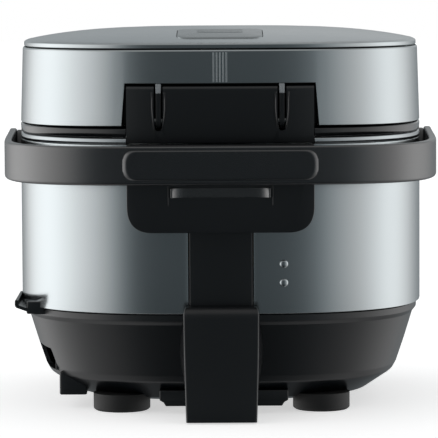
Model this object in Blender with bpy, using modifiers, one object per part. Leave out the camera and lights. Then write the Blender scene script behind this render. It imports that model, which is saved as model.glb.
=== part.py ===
"""Rice cooker with a hinged lid, a fold-down carrying handle and a rear dew collector.

Frame: +Z is up, the control panel faces -Y, the lid hinge and the dew collector are at +Y, and
the origin is on the floor under the centre of the body. Every size below is in millimetres; the
mesh helpers turn it into metres.
"""

import math

import bmesh
import bpy
from mathutils import Matrix, Vector

MM = 0.001
GAP = 0.3                 # clearance between neighbouring solids
PLAN_POWER = 3.0          # squareness of the body's plan
ROUND = 2.0               # power of a true circle
PLAN_POINTS = 48          # points of a body-sized outline
TURNED_POINTS = 32        # points of a round inner part

# Body
BODY_HALF = 133.0         # half width and half depth of the metal sleeve
BASE_PROFILE = (          # half width and height of the moulded base, floor to lip
    (85.0, 6.0), (98.0, 9.0), (110.5, 17.8), (115.0, 21.0), (117.5, 25.5),
    (122.7, 41.0), (128.7, 61.0), (130.0, 64.0), (130.0, 66.8),
)
BASE_HOLE = 58.0          # service hole in the base floor
SLEEVE_BOTTOM, SLEEVE_TOP, SLEEVE_WALL = 67.3, 175.0, 1.2
SHOULDER_TOP = 179.6
FRAME_BOTTOM, FRAME_TOP, POT_OPENING = 179.9, 185.5, 102.8

# Lid
LID_BOTTOM, LID_TOP = 186.3, 235.2
LID_HALF_BOTTOM, LID_HALF_TOP, LID_WALL = 132.9, 131.4, 1.6
RIM_HALF, RIM_Z = 129.4, 239.3
CROWN_RISE, CROWN_POWER, PLATE_THICK = 7.8, 3.5, 2.0
VENT_Y, VENT_RADIUS = 80.0, 12.5
CAP_HALF_X, CAP_FRONT, CAP_REAR, CAP_CORNER, CAP_PROUD = 27.5, 62.0, 115.0, 9.0, 1.0

# Hinge
HINGE_Y, HINGE_Z, SHAFT_RADIUS = 128.0, 190.0, 2.0
COVER_HALF, COVER_BOTTOM, COVER_TOP, COVER_SWEEP = 59.6, 176.2, 212.8, 23.7
COVER_FRONT, COVER_WALL = 106.0, 1.6
ARM_X, ARM_WIDTH, SLOT_WIDTH, SLOT_BOTTOM = 39.2, 3.3, 5.7, 184.0
NOTCH_TOP, NOTCH_FRONT = 214.0, 102.8

# Carrying handle
PIVOT_Z = 163.4
BAIL_POWER = 4.3
BAIL_INNER_X, BAIL_INNER_Y, BAIL_THICK = 137.0, 153.0, 5.0
BAIL_BOTTOM, BAIL_TOP, BOSS_RADIUS = 151.0, 175.7, 16.0
PIN_RADIUS, PIN_CAP_RADIUS = 6.0, 12.0
GRIP_HALF, GRIP_BOTTOM, GRIP_TOP, GRIP_PROUD, GRIP_CORNER = 61.5, 154.0, 172.5, 2.0, 5.5

# Dew collector and rear column
COLLECTOR_HALF, COLLECTOR_BOTTOM, COLLECTOR_TOP, COLLECTOR_CORNER = 59.2, 120.4, 175.8, 13.2
COLLECTOR_FRONT, COLLECTOR_REAR, COLLECTOR_WALL = 135.1, 149.0, 2.2
LIP_HALF, LIP_BOTTOM, LIP_TOP, LIP_REAR = 32.0, 142.7, 149.0, 152.4
COLUMN_HALF, COLUMN_REAR = 20.2, 132.7
LEG_TOP_HALF, LEG_BOTTOM_HALF, LEG_TOP, LEG_BOTTOM, LEG_REAR = 24.2, 22.4, 72.4, 0.9, 157.0

# Front
FASCIA_BOTTOM, FASCIA_TOP, FASCIA_FRONT, FASCIA_WALL = 86.0, 172.0, 157.2, 2.5
BUTTON_PROUD = 2.8
KEY_XS, KEY_Z, KEY_HALF_X, KEY_HALF_Z = (-36.0, -12.0, 12.0, 36.0), 104.0, 8.5, 5.0

# Inside
CASE_RADIUS, CASE_TOP = 103.5, 179.3
POT_RADIUS, POT_BOTTOM, POT_TOP = 97.0, 48.6, 178.2

FINISHES = {              # colour (linear), roughness, metallic
    "steel": ((0.36, 0.40, 0.42), 0.30, 1.0),
    "bright": ((0.62, 0.64, 0.65), 0.18, 1.0),
    "black": ((0.012, 0.013, 0.015), 0.45, 0.0),
    "gloss_black": ((0.010, 0.011, 0.013), 0.12, 0.0),
    "grey": ((0.30, 0.31, 0.32), 0.50, 0.0),
    "rubber": ((0.03, 0.03, 0.03), 0.85, 0.0),
    "aluminium": ((0.55, 0.56, 0.57), 0.35, 1.0),
    "brass": ((0.60, 0.42, 0.16), 0.30, 1.0),
    "board": ((0.03, 0.16, 0.07), 0.60, 0.0),
    "glass": ((0.02, 0.03, 0.03), 0.05, 0.0),
}
PARTS = "rice_cooker"
TOOLS = "cutters"
SMOOTH_ANGLE = math.radians(35.0)


# ---------------------------------------------------------------- scene and object helpers

def clear_scene():
    """Remove what a new file starts with."""
    for item in list(bpy.data.objects):
        bpy.data.objects.remove(item, do_unlink=True)
    for name in (PARTS, TOOLS):
        bpy.context.scene.collection.children.link(bpy.data.collections.new(name))


def finish(name):
    """The material of one finish, made the first time that it is asked for."""
    if name in bpy.data.materials:
        return bpy.data.materials[name]
    colour, roughness, metallic = FINISHES[name]
    material = bpy.data.materials.new(name)
    material.use_nodes = True
    shader = material.node_tree.nodes["Principled BSDF"]
    shader.inputs["Base Color"].default_value = (*colour, 1.0)
    shader.inputs["Roughness"].default_value = roughness
    shader.inputs["Metallic"].default_value = metallic
    return material


def add_object(name, mesh, look):
    """Link a mesh as a part, or as a cutter when it has no look."""
    body = bpy.data.objects.new(name, mesh)
    bpy.data.collections[TOOLS if look is None else PARTS].objects.link(body)
    if look is None:
        body.hide_render = True
        body.display_type = "WIRE"
    else:
        mesh.materials.append(finish(look))
    mesh.shade_smooth()
    mesh.set_sharp_from_angle(angle=SMOOTH_ANGLE)
    return body


def close_mesh(name, shape, look):
    """Turn a bmesh in millimetres into an object in metres."""
    bmesh.ops.scale(shape, vec=(MM, MM, MM), verts=shape.verts)
    bmesh.ops.recalc_face_normals(shape, faces=shape.faces)
    mesh = bpy.data.meshes.new(name)
    shape.to_mesh(mesh)
    shape.free()
    return add_object(name, mesh, look)


def carve(body, tool, operation="DIFFERENCE"):
    """Cut, join or intersect a body with a tool."""
    modifier = body.modifiers.new(tool.name, "BOOLEAN")
    modifier.operation = operation
    modifier.object = tool
    modifier.solver = "EXACT"
    return body


def soften(body, width, segments=2, angle=40.0):
    """Round the edges of a body that are sharper than an angle."""
    modifier = body.modifiers.new("Bevel", "BEVEL")
    modifier.width = width * MM
    modifier.segments = segments
    modifier.limit_method = "ANGLE"
    modifier.angle_limit = math.radians(angle)
    return body


# ---------------------------------------------------------------- solids

def block(name, low, high, look=None):
    """A box from its lowest corner to its highest one."""
    low, high = Vector(low), Vector(high)
    shape = bmesh.new()
    bmesh.ops.create_cube(shape, size=1.0)
    bmesh.ops.scale(shape, vec=high - low, verts=shape.verts)
    bmesh.ops.translate(shape, vec=(low + high) / 2, verts=shape.verts)
    return close_mesh(name, shape, look)


def rod(name, start, end, radius, look=None, segments=24):
    """A round bar between two points."""
    start, end = Vector(start), Vector(end)
    axis = end - start
    shape = bmesh.new()
    turn = Vector((0, 0, 1)).rotation_difference(axis).to_matrix().to_4x4()
    bmesh.ops.create_cone(
        shape, cap_ends=True, segments=segments, radius1=radius, radius2=radius,
        depth=axis.length, matrix=Matrix.Translation((start + end) / 2) @ turn)
    return close_mesh(name, shape, look)


def plan_point(angle, half_x, half_y, power):
    """The point of a superellipse that lies at an angle from +X."""
    cosine, sine = math.cos(angle), math.sin(angle)
    radius = (abs(cosine / half_x) ** power + abs(sine / half_y) ** power) ** (-1.0 / power)
    return radius * cosine, radius * sine


def loft(name, rings, look=None, closed=False, count=PLAN_POINTS, centre=(0.0, 0.0)):
    """Skin a stack of outlines, each given as (half width, height[, power]).

    A closed stack joins its last outline to its first one, as a hoop does; an open one is capped.
    """
    shape = bmesh.new()
    loops = []
    for half, height, *rest in rings:
        power = rest[0] if rest else PLAN_POWER
        loop = []
        for index in range(count):
            x, y = plan_point(2 * math.pi * index / count, half, half, power)
            loop.append(shape.verts.new((x + centre[0], y + centre[1], height)))
        loops.append(loop)
    pairs = list(zip(loops, loops[1:]))
    if closed:
        pairs.append((loops[-1], loops[0]))
    else:
        shape.faces.new(loops[0])
        shape.faces.new(loops[-1])
    for lower, upper in pairs:
        for index in range(count):
            after = (index + 1) % count
            shape.faces.new((lower[index], lower[after], upper[after], upper[index]))
    return close_mesh(name, shape, look)


def turned(name, profile, look=None, closed=True, centre=(0.0, 0.0), count=TURNED_POINTS):
    """A round part from a profile of (radius, height)."""
    rings = [(radius, height, ROUND) for radius, height in profile]
    return loft(name, rings, look, closed, count, centre)


AXIS_FRAMES = {
    "X": Matrix(((0, 0, 1, 0), (1, 0, 0, 0), (0, 1, 0, 0), (0, 0, 0, 1))),    # outline in Y, Z
    "Y": Matrix(((1, 0, 0, 0), (0, 0, -1, 0), (0, 1, 0, 0), (0, 0, 0, 1))),   # outline in X, Z
    "Z": Matrix.Identity(4),                                                  # outline in X, Y
}


def prism(name, outline, axis, low, high, look=None):
    """A flat outline, drawn across an axis, extruded from low to high along it."""
    curve = bpy.data.curves.new(name, "CURVE")
    curve.dimensions = "2D"
    curve.fill_mode = "BOTH"
    curve.extrude = (high - low) / 2
    spline = curve.splines.new("POLY")
    spline.points.add(len(outline) - 1)
    for point, place in zip(spline.points, outline):
        point.co = (*place, 0.0, 1.0)
    spline.use_cyclic_u = True
    guide = bpy.data.objects.new(name, curve)
    bpy.context.scene.collection.objects.link(guide)
    bpy.context.view_layer.update()
    mesh = bpy.data.meshes.new_from_object(guide.evaluated_get(bpy.context.evaluated_depsgraph_get()))
    bpy.data.objects.remove(guide, do_unlink=True)
    shape = bmesh.new()
    shape.from_mesh(mesh)
    bmesh.ops.remove_doubles(shape, verts=shape.verts, dist=0.001)
    middle = (low + high) / 2 * (-1 if axis == "Y" else 1)
    bmesh.ops.translate(shape, vec=(0, 0, middle), verts=shape.verts)
    bmesh.ops.transform(shape, matrix=AXIS_FRAMES[axis], verts=shape.verts)
    return close_mesh(name, shape, look)


def rounded_rectangle(left, right, low, high, radius, steps=4):
    """The outline of a rectangle with rounded corners."""
    corners = ((right, high, 0), (left, high, 90), (left, low, 180), (right, low, 270))
    points = []
    for x, y, start in corners:
        centre_x = x - math.copysign(radius, x - (left + right) / 2)
        centre_y = y - math.copysign(radius, y - (low + high) / 2)
        for step in range(steps + 1):
            angle = math.radians(start + 90.0 * step / steps)
            points.append((centre_x + radius * math.cos(angle), centre_y + radius * math.sin(angle)))
    return points


def coil(name, start, axis, length, radius, wire, turns, look, steps=10):
    """A coil spring along X, Y or Z from a start point."""
    along = {"X": Vector((1, 0, 0)), "Y": Vector((0, 1, 0)), "Z": Vector((0, 0, 1))}[axis]
    side = along.orthogonal().normalized()
    other = along.cross(side)
    curve = bpy.data.curves.new(name, "CURVE")
    curve.dimensions = "3D"
    curve.bevel_depth = wire * MM
    curve.bevel_resolution = 1
    curve.use_fill_caps = True
    spline = curve.splines.new("POLY")
    total = int(turns * steps)
    spline.points.add(total)
    for index, point in enumerate(spline.points):
        angle = 2 * math.pi * index / steps
        place = Vector(start) + along * length * index / total
        place += radius * (side * math.cos(angle) + other * math.sin(angle))
        point.co = (*(place * MM), 1.0)
    spring = bpy.data.objects.new(name, curve)
    bpy.data.collections[PARTS].objects.link(spring)
    curve.materials.append(finish(look))
    return spring


# ---------------------------------------------------------------- shared cutters

def body_outline_tool():
    """The outer body from floor to shoulder, grown by the clearance, to cut what sits on it."""
    rings = [(half + GAP, height - GAP) for half, height in BASE_PROFILE[:2]]
    rings += [(half + GAP, height) for half, height in BASE_PROFILE[2:-1]]
    rings += [(BODY_HALF + 2 * GAP, BASE_PROFILE[-1][1]), (BODY_HALF + 2 * GAP, SLEEVE_TOP + 8)]
    return loft("tool_body", rings)


def crown_rings(lift=0.0):
    """The lid's crown from its rim to near its middle."""
    steps = (0.93, 0.82, 0.66, 0.45, 0.15)
    return [(RIM_HALF * step, RIM_Z + lift + CROWN_RISE * (1 - step ** CROWN_POWER)) for step in steps]


# ---------------------------------------------------------------- base

def build_base(body_tool):
    """Base shell with its rear skirt and inlet housing, its cover, feet and inlet."""
    inner = [(127.5, 66.8), (127.5, 64.0), (115.0, 26.0), (108.0, 20.5), (95.5, 11.5), (82.5, 8.5)]
    rings = [(BASE_HOLE, 6.0, ROUND), *BASE_PROFILE, *inner, (BASE_HOLE, 8.5, ROUND)]
    shell = loft("base_shell", rings, "black", closed=True)
    carve(shell, block("tool_skirt", (-43, 72, 5.2), (40, 111, 15.5)), "UNION")
    carve(shell, block("tool_inlet_housing", (92, 30, 8.0), (106, 78, 23.6)), "UNION")
    carve(shell, block("tool_inlet_window", (98, 36, 24.0), (130, 74, 40.0)))

    turned("base_cover", [(8, 3.2), (59, 3.2), (60, 4.0), (60, 5.7), (8, 5.7)], "black")
    for side, x in (("left", 65.0), ("right", -65.0)):
        for end, y in (("rear", 85.5), ("front", -85.5)):
            foot = turned(
                f"foot_{end}_{side}", [(4, 0), (16, 0), (18, 1.4), (18.5, 3.6), (18.5, 9.5), (4, 9.5)],
                "rubber", centre=(x, y), count=32)
            carve(foot, body_tool)

    socket = block("inlet_socket", (92.5, 36.5, 24.4), (108.6, 73.5, 39.6), "black")
    carve(socket, block("tool_inlet_recess", (97.0, 38.5, 26.2), (112, 71.5, 37.8)))
    for side, y in (("left", 49.0), ("right", 61.0)):
        rod(f"inlet_pin_{side}", (97.3, y, 32), (105.5, y, 32), 2.0, "brass", 12)


def build_leg(body_tool):
    """The rear leg that steadies the cooker, its two pads and the column above it."""
    side = [(105, LEG_BOTTOM), (LEG_REAR - 1, LEG_BOTTOM), (LEG_REAR, LEG_BOTTOM + 1), (LEG_REAR, 6),
            (149.5, 40), (145, 67), (143.5, 70.8), (141, LEG_TOP), (105, LEG_TOP)]
    leg = prism("rear_leg", side, "X", -LEG_TOP_HALF - 1, LEG_TOP_HALF + 1, "black")
    half = [(LEG_BOTTOM_HALF, LEG_BOTTOM - 1), (23.7, 50), (LEG_TOP_HALF, 70.2),
            (LEG_TOP_HALF - 1.2, LEG_TOP + 1)]
    face = half + [(-x, z) for x, z in reversed(half)]
    carve(leg, prism("tool_leg_face", face, "Y", 90, 160), "INTERSECT")
    carve(leg, body_tool)
    carve(leg, block("tool_leg_front", (-50, 90, -5), (50, 111.5, 22)))
    for name, x in (("left", 11.5), ("right", -11.5)):
        rod(f"leg_pad_{name}", (x, 143, 0), (x, 143, 0.9), 3.5, "rubber", 16)
    block("rear_column", (-COLUMN_HALF, 122, 67.2), (COLUMN_HALF, COLUMN_REAR, 175.4), "black")


def build_scoop_holder(body_tool):
    """The open tray on the +X side that holds the rice scoop and stows the cord."""
    section = [(104, 63.0), (121, 63.0), (134, 67.6), (134, 72.4), (131.8, 72.4), (131.8, 68.9),
               (120.6, 65.2), (104, 65.2)]
    tray = prism("scoop_holder", section, "Y", 32, 90, "black")
    carve(tray, block("tool_tray_end", (112, 84, 63.1), (127, 89.9, 71.5)), "UNION")
    carve(tray, body_tool)


# ---------------------------------------------------------------- body

def build_body():
    """Metal sleeve, bright shoulder ring, top frame and the two pips on the sleeve."""
    inner = BODY_HALF - SLEEVE_WALL
    sleeve = loft("outer_sleeve", [(BODY_HALF, SLEEVE_BOTTOM), (BODY_HALF, SLEEVE_TOP),
                                   (inner, SLEEVE_TOP), (inner, SLEEVE_BOTTOM)], "steel", closed=True)
    carve(sleeve, block("tool_rear_slot", (-20.9, 118, 60), (20.9, 140, 180)))
    carve(sleeve, block("tool_front_opening", (-60, -140, 90), (60, -110, 170)))
    carve(sleeve, rod("tool_pivot_hole", (-150, 0, PIVOT_Z), (150, 0, PIVOT_Z), PIN_RADIUS + GAP))
    for name, z in (("upper", 99.0), ("lower", 87.0)):
        pip = rod(f"sleeve_pip_{name}", (-40, 132.2, z), (-40, 133.9, z), 3.0, "steel", 16)
        soften(pip, 0.7)

    ring = loft("shoulder_ring", [(133.1, 175.3), (133.3, 177.4), (132.6, SHOULDER_TOP),
                                  (128.5, SHOULDER_TOP), (128.5, 175.3)], "bright", closed=True)
    hinge_gap = block("tool_hinge_gap", (-60.1, 105.5, 170), (60.1, 145, 187))
    carve(ring, hinge_gap)
    frame = loft("top_frame", [(132.8, FRAME_BOTTOM), (133.0, 184.8), (132.2, FRAME_TOP),
                               (104.0, FRAME_TOP, ROUND), (POT_OPENING, 184.6, ROUND),
                               (POT_OPENING, FRAME_BOTTOM, ROUND)], "gloss_black", closed=True)
    carve(frame, hinge_gap)
    carve(frame, block("tool_strike_slot", (-9.5, -123.8, 175), (9.5, -112.8, 190)))


def build_inside():
    """Inner case, heaters, pot, sensor and the power electronics under them."""
    turned("inner_case", [(22, 38), (88, 38), (98, 42), (CASE_RADIUS, 52), (CASE_RADIUS, CASE_TOP),
                          (102.2, CASE_TOP), (102.2, 52.6), (97.2, 43), (87.6, 39.3), (22, 39.3)],
           "aluminium")
    turned("heating_plate", [(19.5, 41), (80, 41), (80, 45.5), (76, 48.2), (19.5, 48.2)], "aluminium")
    turned("side_heater", [(104, 95), (106, 95), (106, 125), (104, 125)], "grey")
    turned("inner_pot", [(72, POT_BOTTOM), (88, 51.5), (94.5, 57), (POT_RADIUS, 66),
                         (POT_RADIUS, 176), (101, 177), (101, POT_TOP), (97.5, POT_TOP),
                         (94.6, 176.4), (94.6, 66), (92, 59), (86.5, 54.2), (70, 51.2)],
           "grey", closed=False)
    turned("sensor_cup", [(12, 40), (17, 40), (17.5, 41), (17.5, 47), (16.5, 48.2), (5, 48.2),
                          (5, 47), (15.8, 47), (15.8, 40.6), (12, 40.6)], "aluminium", count=20)
    coil("sensor_spring", (0, 0, 27), "Z", 18.0, 9.0, 0.7, 4, "aluminium")
    block("power_board", (-72, -50, 14), (12, 40, 15.6), "board")
    block("relay", (-52, -22, 15.9), (-30, -4, 30), "black")
    rod("thermal_fuse", (28, 0, 34), (52, 0, 34), 2.5, "aluminium", 16)


# ---------------------------------------------------------------- hinge

def build_hinge(plan_tool):
    """Hinge cover with its two arm slots, and the bracket, shaft and springs inside it."""
    def sweep(radius, angles):
        return [(HINGE_Y + radius * math.cos(math.radians(angle)),
                 HINGE_Z + radius * math.sin(math.radians(angle))) for angle in angles]

    angles = (107, 122, 140, 155)
    outer = [(COVER_FRONT, COVER_BOTTOM), (134.2, COVER_BOTTOM), (134.2, 209.5), (132.2, COVER_TOP - 0.2),
             *sweep(COVER_SWEEP, angles), (COVER_FRONT, 198)]
    cover = prism("hinge_cover", outer, "X", -COVER_HALF, COVER_HALF, "black")
    carve(cover, plan_tool, "INTERSECT")
    inner = [(COVER_FRONT + 2, 170), (132.6, 170), (132.6, 208.5), (131.2, 210.6),
             *sweep(COVER_SWEEP - 2, angles), (COVER_FRONT + 2, 197)]
    cavity = prism("tool_cover_cavity", inner, "X", -COVER_HALF + 2, COVER_HALF - 2)
    carve(cavity, loft("tool_cover_inner_plan", [(134.2 - COVER_WALL, 160), (134.2 - COVER_WALL, 220)]),
          "INTERSECT")
    carve(cover, cavity)
    for side, x in (("left", ARM_X), ("right", -ARM_X)):
        half = SLOT_WIDTH / 2
        slot = rounded_rectangle(x - half, x + half, SLOT_BOTTOM, 222, half - 0.05)
        carve(cover, prism(f"tool_arm_slot_{side}", slot, "Y", 100, 140))

    lift = [(-34, 177), (34, 177), (34, 179), (30, 179), (30, 196), (28, 196), (28, 179), (-28, 179),
            (-28, 196), (-30, 196), (-30, 179), (-34, 179)]
    bracket = prism("hinge_bracket", lift, "Y", 116, 131.2, "steel")
    shaft_hole = rod("tool_shaft_hole", (-60, HINGE_Y, HINGE_Z), (60, HINGE_Y, HINGE_Z),
                     SHAFT_RADIUS + GAP, segments=16)
    carve(bracket, shaft_hole)
    rod("hinge_shaft", (-44, HINGE_Y, HINGE_Z), (44, HINGE_Y, HINGE_Z), SHAFT_RADIUS, "bright", 16)
    for side, x in (("left", 11.0), ("right", -23.0)):
        coil(f"hinge_spring_{side}", (x, HINGE_Y, HINGE_Z), "X", 12.0, 3.2, 0.6, 4, "aluminium")
    return shaft_hole


# ---------------------------------------------------------------- lid

def build_lid(shaft_hole):
    """Lid: crowned plate, metal band, moulded frame, inner lid, gasket, arms, strike and vent."""
    notch = prism("tool_hinge_notch", [(-62.5, 178), (62.5, 178), (61.1, NOTCH_TOP), (-61.1, NOTCH_TOP)],
                  "Y", NOTCH_FRONT, 145)
    band = loft("lid_band", [(LID_HALF_BOTTOM, LID_BOTTOM), (LID_HALF_BOTTOM, 188), (LID_HALF_TOP, 234.4),
                             (130.8, LID_TOP), (LID_HALF_TOP - LID_WALL, LID_TOP),
                             (LID_HALF_BOTTOM - LID_WALL - 0.1, LID_BOTTOM)], "steel", closed=True)
    carve(band, notch)

    underside = list(reversed(crown_rings(-PLATE_THICK)))
    plate_rings = [*underside, (122.5, 236.2), (124, 235.9), (127.6, 235.9), (128.2, 236.6), (129.8, 236.8), (130.1, 238.5),
                   (RIM_HALF, RIM_Z), *crown_rings()]
    plate = loft("lid_plate", plate_rings, "steel")
    hole = rounded_rectangle(-CAP_HALF_X - 0.4, CAP_HALF_X + 0.4, CAP_FRONT - 0.4, CAP_REAR + 0.4,
                             CAP_CORNER)
    carve(plate, prism("tool_cap_hole", hole, "Z", 230, 255))
    cap_outline = rounded_rectangle(-CAP_HALF_X, CAP_HALF_X, CAP_FRONT, CAP_REAR, CAP_CORNER)
    cap = prism("steam_cap", cap_outline, "Z", 236.9, 256, "grey")
    crown = [(150, 225), (150, RIM_Z + CAP_PROUD), (RIM_HALF, RIM_Z + CAP_PROUD), *crown_rings(CAP_PROUD)]
    carve(cap, loft("tool_cap_crown", crown), "INTERSECT")

    frame = loft("lid_frame", [(96, 181.7, ROUND), (99.5, 182.4, ROUND), (99.5, 187.2, ROUND),
                               (127.5, 187.2), (129.3, 188.6), (129.3, 232), (127, 232), (127, 190),
                               (97.5, 189.8, ROUND), (97.0, 184.5, ROUND)], "black")
    pocket = block("tool_hinge_pocket", (-65, 99.4, 187.6), (65, 135, 216.5))
    carve(pocket, loft("tool_pocket_plan", [(128.2, 180), (128.2, 225)]), "INTERSECT")
    carve(frame, pocket, "UNION")
    carve(frame, notch)
    carve(frame, rod("tool_vent_hole", (0, VENT_Y, 176), (0, VENT_Y, 187), VENT_RADIUS, segments=32))
    turned("steam_duct", [(10, 182), (12.2, 182), (12.2, 236.4), (10, 236.4)], "black",
           centre=(0, VENT_Y), count=32)
    turned("inner_lid", [(4, 179.9), (97, 179.9), (98.5, 180.6), (98.5, 181.4), (4, 181.4)], "aluminium")
    turned("lid_gasket", [(92, 178.5), (98.5, 178.5), (98.5, 179.6), (92, 179.6)], "rubber")

    profile = [(122, 185), (132.4, 185), (132.4, NOTCH_TOP - 0.3), (122, NOTCH_TOP - 0.3)]
    for side, x in (("left", ARM_X), ("right", -ARM_X)):
        arm = prism(f"hinge_arm_{side}", profile, "X", x - ARM_WIDTH / 2, x + ARM_WIDTH / 2, "grey")
        carve(arm, shaft_hole)
    hook = [(-121, 172.5), (-115.2, 172.5), (-115.2, 174.2), (-118, 176.2), (-118, 186.9), (-121, 186.9)]
    prism("lid_strike", hook, "X", -8, 8, "steel")


# ---------------------------------------------------------------- handle and collector

def bail_outline(offset):
    """The rear half of the handle's plan, from its +X end round to its -X end."""
    half_x, half_y = BAIL_INNER_X + offset, BAIL_INNER_Y + offset
    return [plan_point(math.pi * step / 40, half_x, half_y, BAIL_POWER) for step in range(41)]


def build_handle():
    """The fold-down carrying handle, its grip pad and its two pivot pins."""
    outline = bail_outline(BAIL_THICK) + list(reversed(bail_outline(0.0)))
    bail = prism("handle_bail", outline, "Z", BAIL_BOTTOM, BAIL_TOP, "black")
    for side, sign in (("left", 1), ("right", -1)):
        inner, outer = sign * BAIL_INNER_X, sign * (BAIL_INNER_X + BAIL_THICK)
        boss = rod(f"tool_boss_{side}", (inner, 0, PIVOT_Z), (outer, 0, PIVOT_Z), BOSS_RADIUS, segments=32)
        carve(bail, boss, "UNION")
        pin = rod(f"handle_pin_{side}", (sign * 120, 0, PIVOT_Z), (sign * 143.0, 0, PIVOT_Z), PIN_RADIUS,
                  "bright", 20)
        head = rod(f"tool_pin_head_{side}", (sign * 142.4, 0, PIVOT_Z), (sign * 143.6, 0, PIVOT_Z),
                   PIN_CAP_RADIUS, segments=32)
        carve(pin, head, "UNION")
    carve(bail, rod("tool_bail_bore", (-160, 0, PIVOT_Z), (160, 0, PIVOT_Z), PIN_RADIUS + GAP, segments=20))

    def on_grip(points):
        return [point for point in points if abs(point[0]) < 80]

    outline = on_grip(bail_outline(BAIL_THICK + GRIP_PROUD))
    outline += list(reversed(on_grip(bail_outline(BAIL_THICK + GAP))))
    grip = prism("grip_pad", outline, "Z", GRIP_BOTTOM - 2, GRIP_TOP + 2, "black")
    face = rounded_rectangle(-GRIP_HALF, GRIP_HALF, GRIP_BOTTOM, GRIP_TOP, GRIP_CORNER)
    carve(grip, prism("tool_grip_face", face, "Y", 140, 170), "INTERSECT")


def build_collector(body_tool):
    """The bracket on the body and the dew collector that slides down off it."""
    bracket = block("collector_bracket", (-54, 125, 124), (54, COLLECTOR_FRONT - 0.4, 174.9), "black")
    carve(bracket, body_tool)

    half, low, radius = COLLECTOR_HALF, COLLECTOR_BOTTOM, COLLECTOR_CORNER
    cup = rounded_rectangle(-half, half, low, COLLECTOR_TOP + 40, radius)
    collector = prism("dew_collector", cup, "Y", COLLECTOR_FRONT, COLLECTOR_REAR, "black")
    carve(collector, block("tool_collector_top", (-70, 130, COLLECTOR_TOP), (70, 160, 240)))
    wall = COLLECTOR_WALL
    hollow = rounded_rectangle(-half + wall, half - wall, low + wall, COLLECTOR_TOP + 60, radius - wall)
    carve(collector, prism("tool_collector_hollow", hollow, "Y", COLLECTOR_FRONT + wall,
                           COLLECTOR_REAR - wall))
    lip = block("tool_collector_lip", (-LIP_HALF, COLLECTOR_REAR - 1, LIP_BOTTOM),
                (LIP_HALF, LIP_REAR, LIP_TOP))
    carve(collector, lip, "UNION")


# ---------------------------------------------------------------- front

def fascia_outline(inset, back):
    """The fascia's plan with rounded front corners, drawn inside itself by an inset."""
    front, side, step = -FASCIA_FRONT + inset, 66.0 - inset, 1.0 - inset / 12.0
    half = [(side, back), (side, front + 14 * step), (side - 1.5 * step, front + 9 * step),
            (side - 6 * step, front + 4.5 * step), (side - 13 * step, front + 1.4 * step),
            (side - 21 * step, front)]
    return half + [(-x, y) for x, y in reversed(half)]


def build_front(body_tool):
    """Control fascia with its window, keys and board, and the lid's open button and latch."""
    front, wall = -FASCIA_FRONT, FASCIA_WALL
    fascia = prism("front_fascia", fascia_outline(0.0, -120), "Z", FASCIA_BOTTOM, FASCIA_TOP, "gloss_black")
    hollow = prism("tool_fascia_hollow", fascia_outline(wall, -110), "Z", FASCIA_BOTTOM + wall,
                   FASCIA_TOP - wall)
    carve(fascia, hollow)
    carve(fascia, body_tool)
    recess = (-30.4, front - 5, 121.6), (30.4, front + 1.7, 150.4)
    carve(fascia, block("tool_window_recess", *recess))
    block("display_window", (-30, front - 0.2, 122), (30, front + 1.4, 150), "glass")
    block("control_board", (-50, front + 11.6, 92), (50, front + 13.2, 155), "board")

    for number, x in enumerate(KEY_XS, start=1):
        tall, wide, z = KEY_HALF_Z, KEY_HALF_X, KEY_Z
        carve(fascia, block(f"tool_key_hole_{number}", (x - wide - 0.4, front - 5, z - tall - 0.4),
                            (x + wide + 0.4, front + 4, z + tall + 0.4)))
        key = block(f"key_{number}", (x - wide, front - 1.2, z - tall), (x + wide, front + 6, z + tall), "grey")
        soften(key, 0.8)

    carve(fascia, block("tool_button_hole", (-16.4, front - 5, 157.6), (16.4, front + 4, 167.4)))
    button = block("open_button", (-16, front - BUTTON_PROUD, 158), (16, front + 7, 167), "grey")
    carve(button, block("tool_button_stem", (-5, front + 6.5, 161.5), (5, -134.5, 166.5)), "UNION")
    latch = [(-134.2, 164), (-110.5, 164), (-110.5, 179), (-116.2, 179), (-116.2, 176.6), (-113.5, 176.6),
             (-113.5, 167), (-134.2, 167)]
    prism("lid_latch", latch, "X", -7, 7, "steel")
    coil("latch_spring", (0, -109.6, 169), "Y", 5.0, 2.4, 0.4, 3, "aluminium", steps=8)


def main():
    """Build the whole cooker."""
    clear_scene()
    body_tool = body_outline_tool()
    build_base(body_tool)
    build_leg(body_tool)
    build_scoop_holder(body_tool)
    build_body()
    build_inside()
    plan_tool = loft("tool_cover_plan", [(134.2, 150), (134.2, 230)])
    shaft_hole = build_hinge(plan_tool)
    build_lid(shaft_hole)
    build_handle()
    build_collector(body_tool)
    build_front(body_tool)


main()
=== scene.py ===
"""Looks of a household rice cooker, built around its packed engineering model.

The cooker stands on the floor at the origin, with its control panel facing -Y and its hinge, dew
collector and folded handle at +Y. Each sub-assembly is a class that holds its sizes in
millimetres, builds fine meshes in the places of the engineering solids and dresses them in
procedural finishes. Solids that are right as they are keep their shape and get a finish.
"""

from __future__ import annotations

import logging
import math
from dataclasses import dataclass
from enum import Enum
from typing import Callable, Sequence

import bmesh
import bpy
from mathutils import Matrix, Vector

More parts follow.
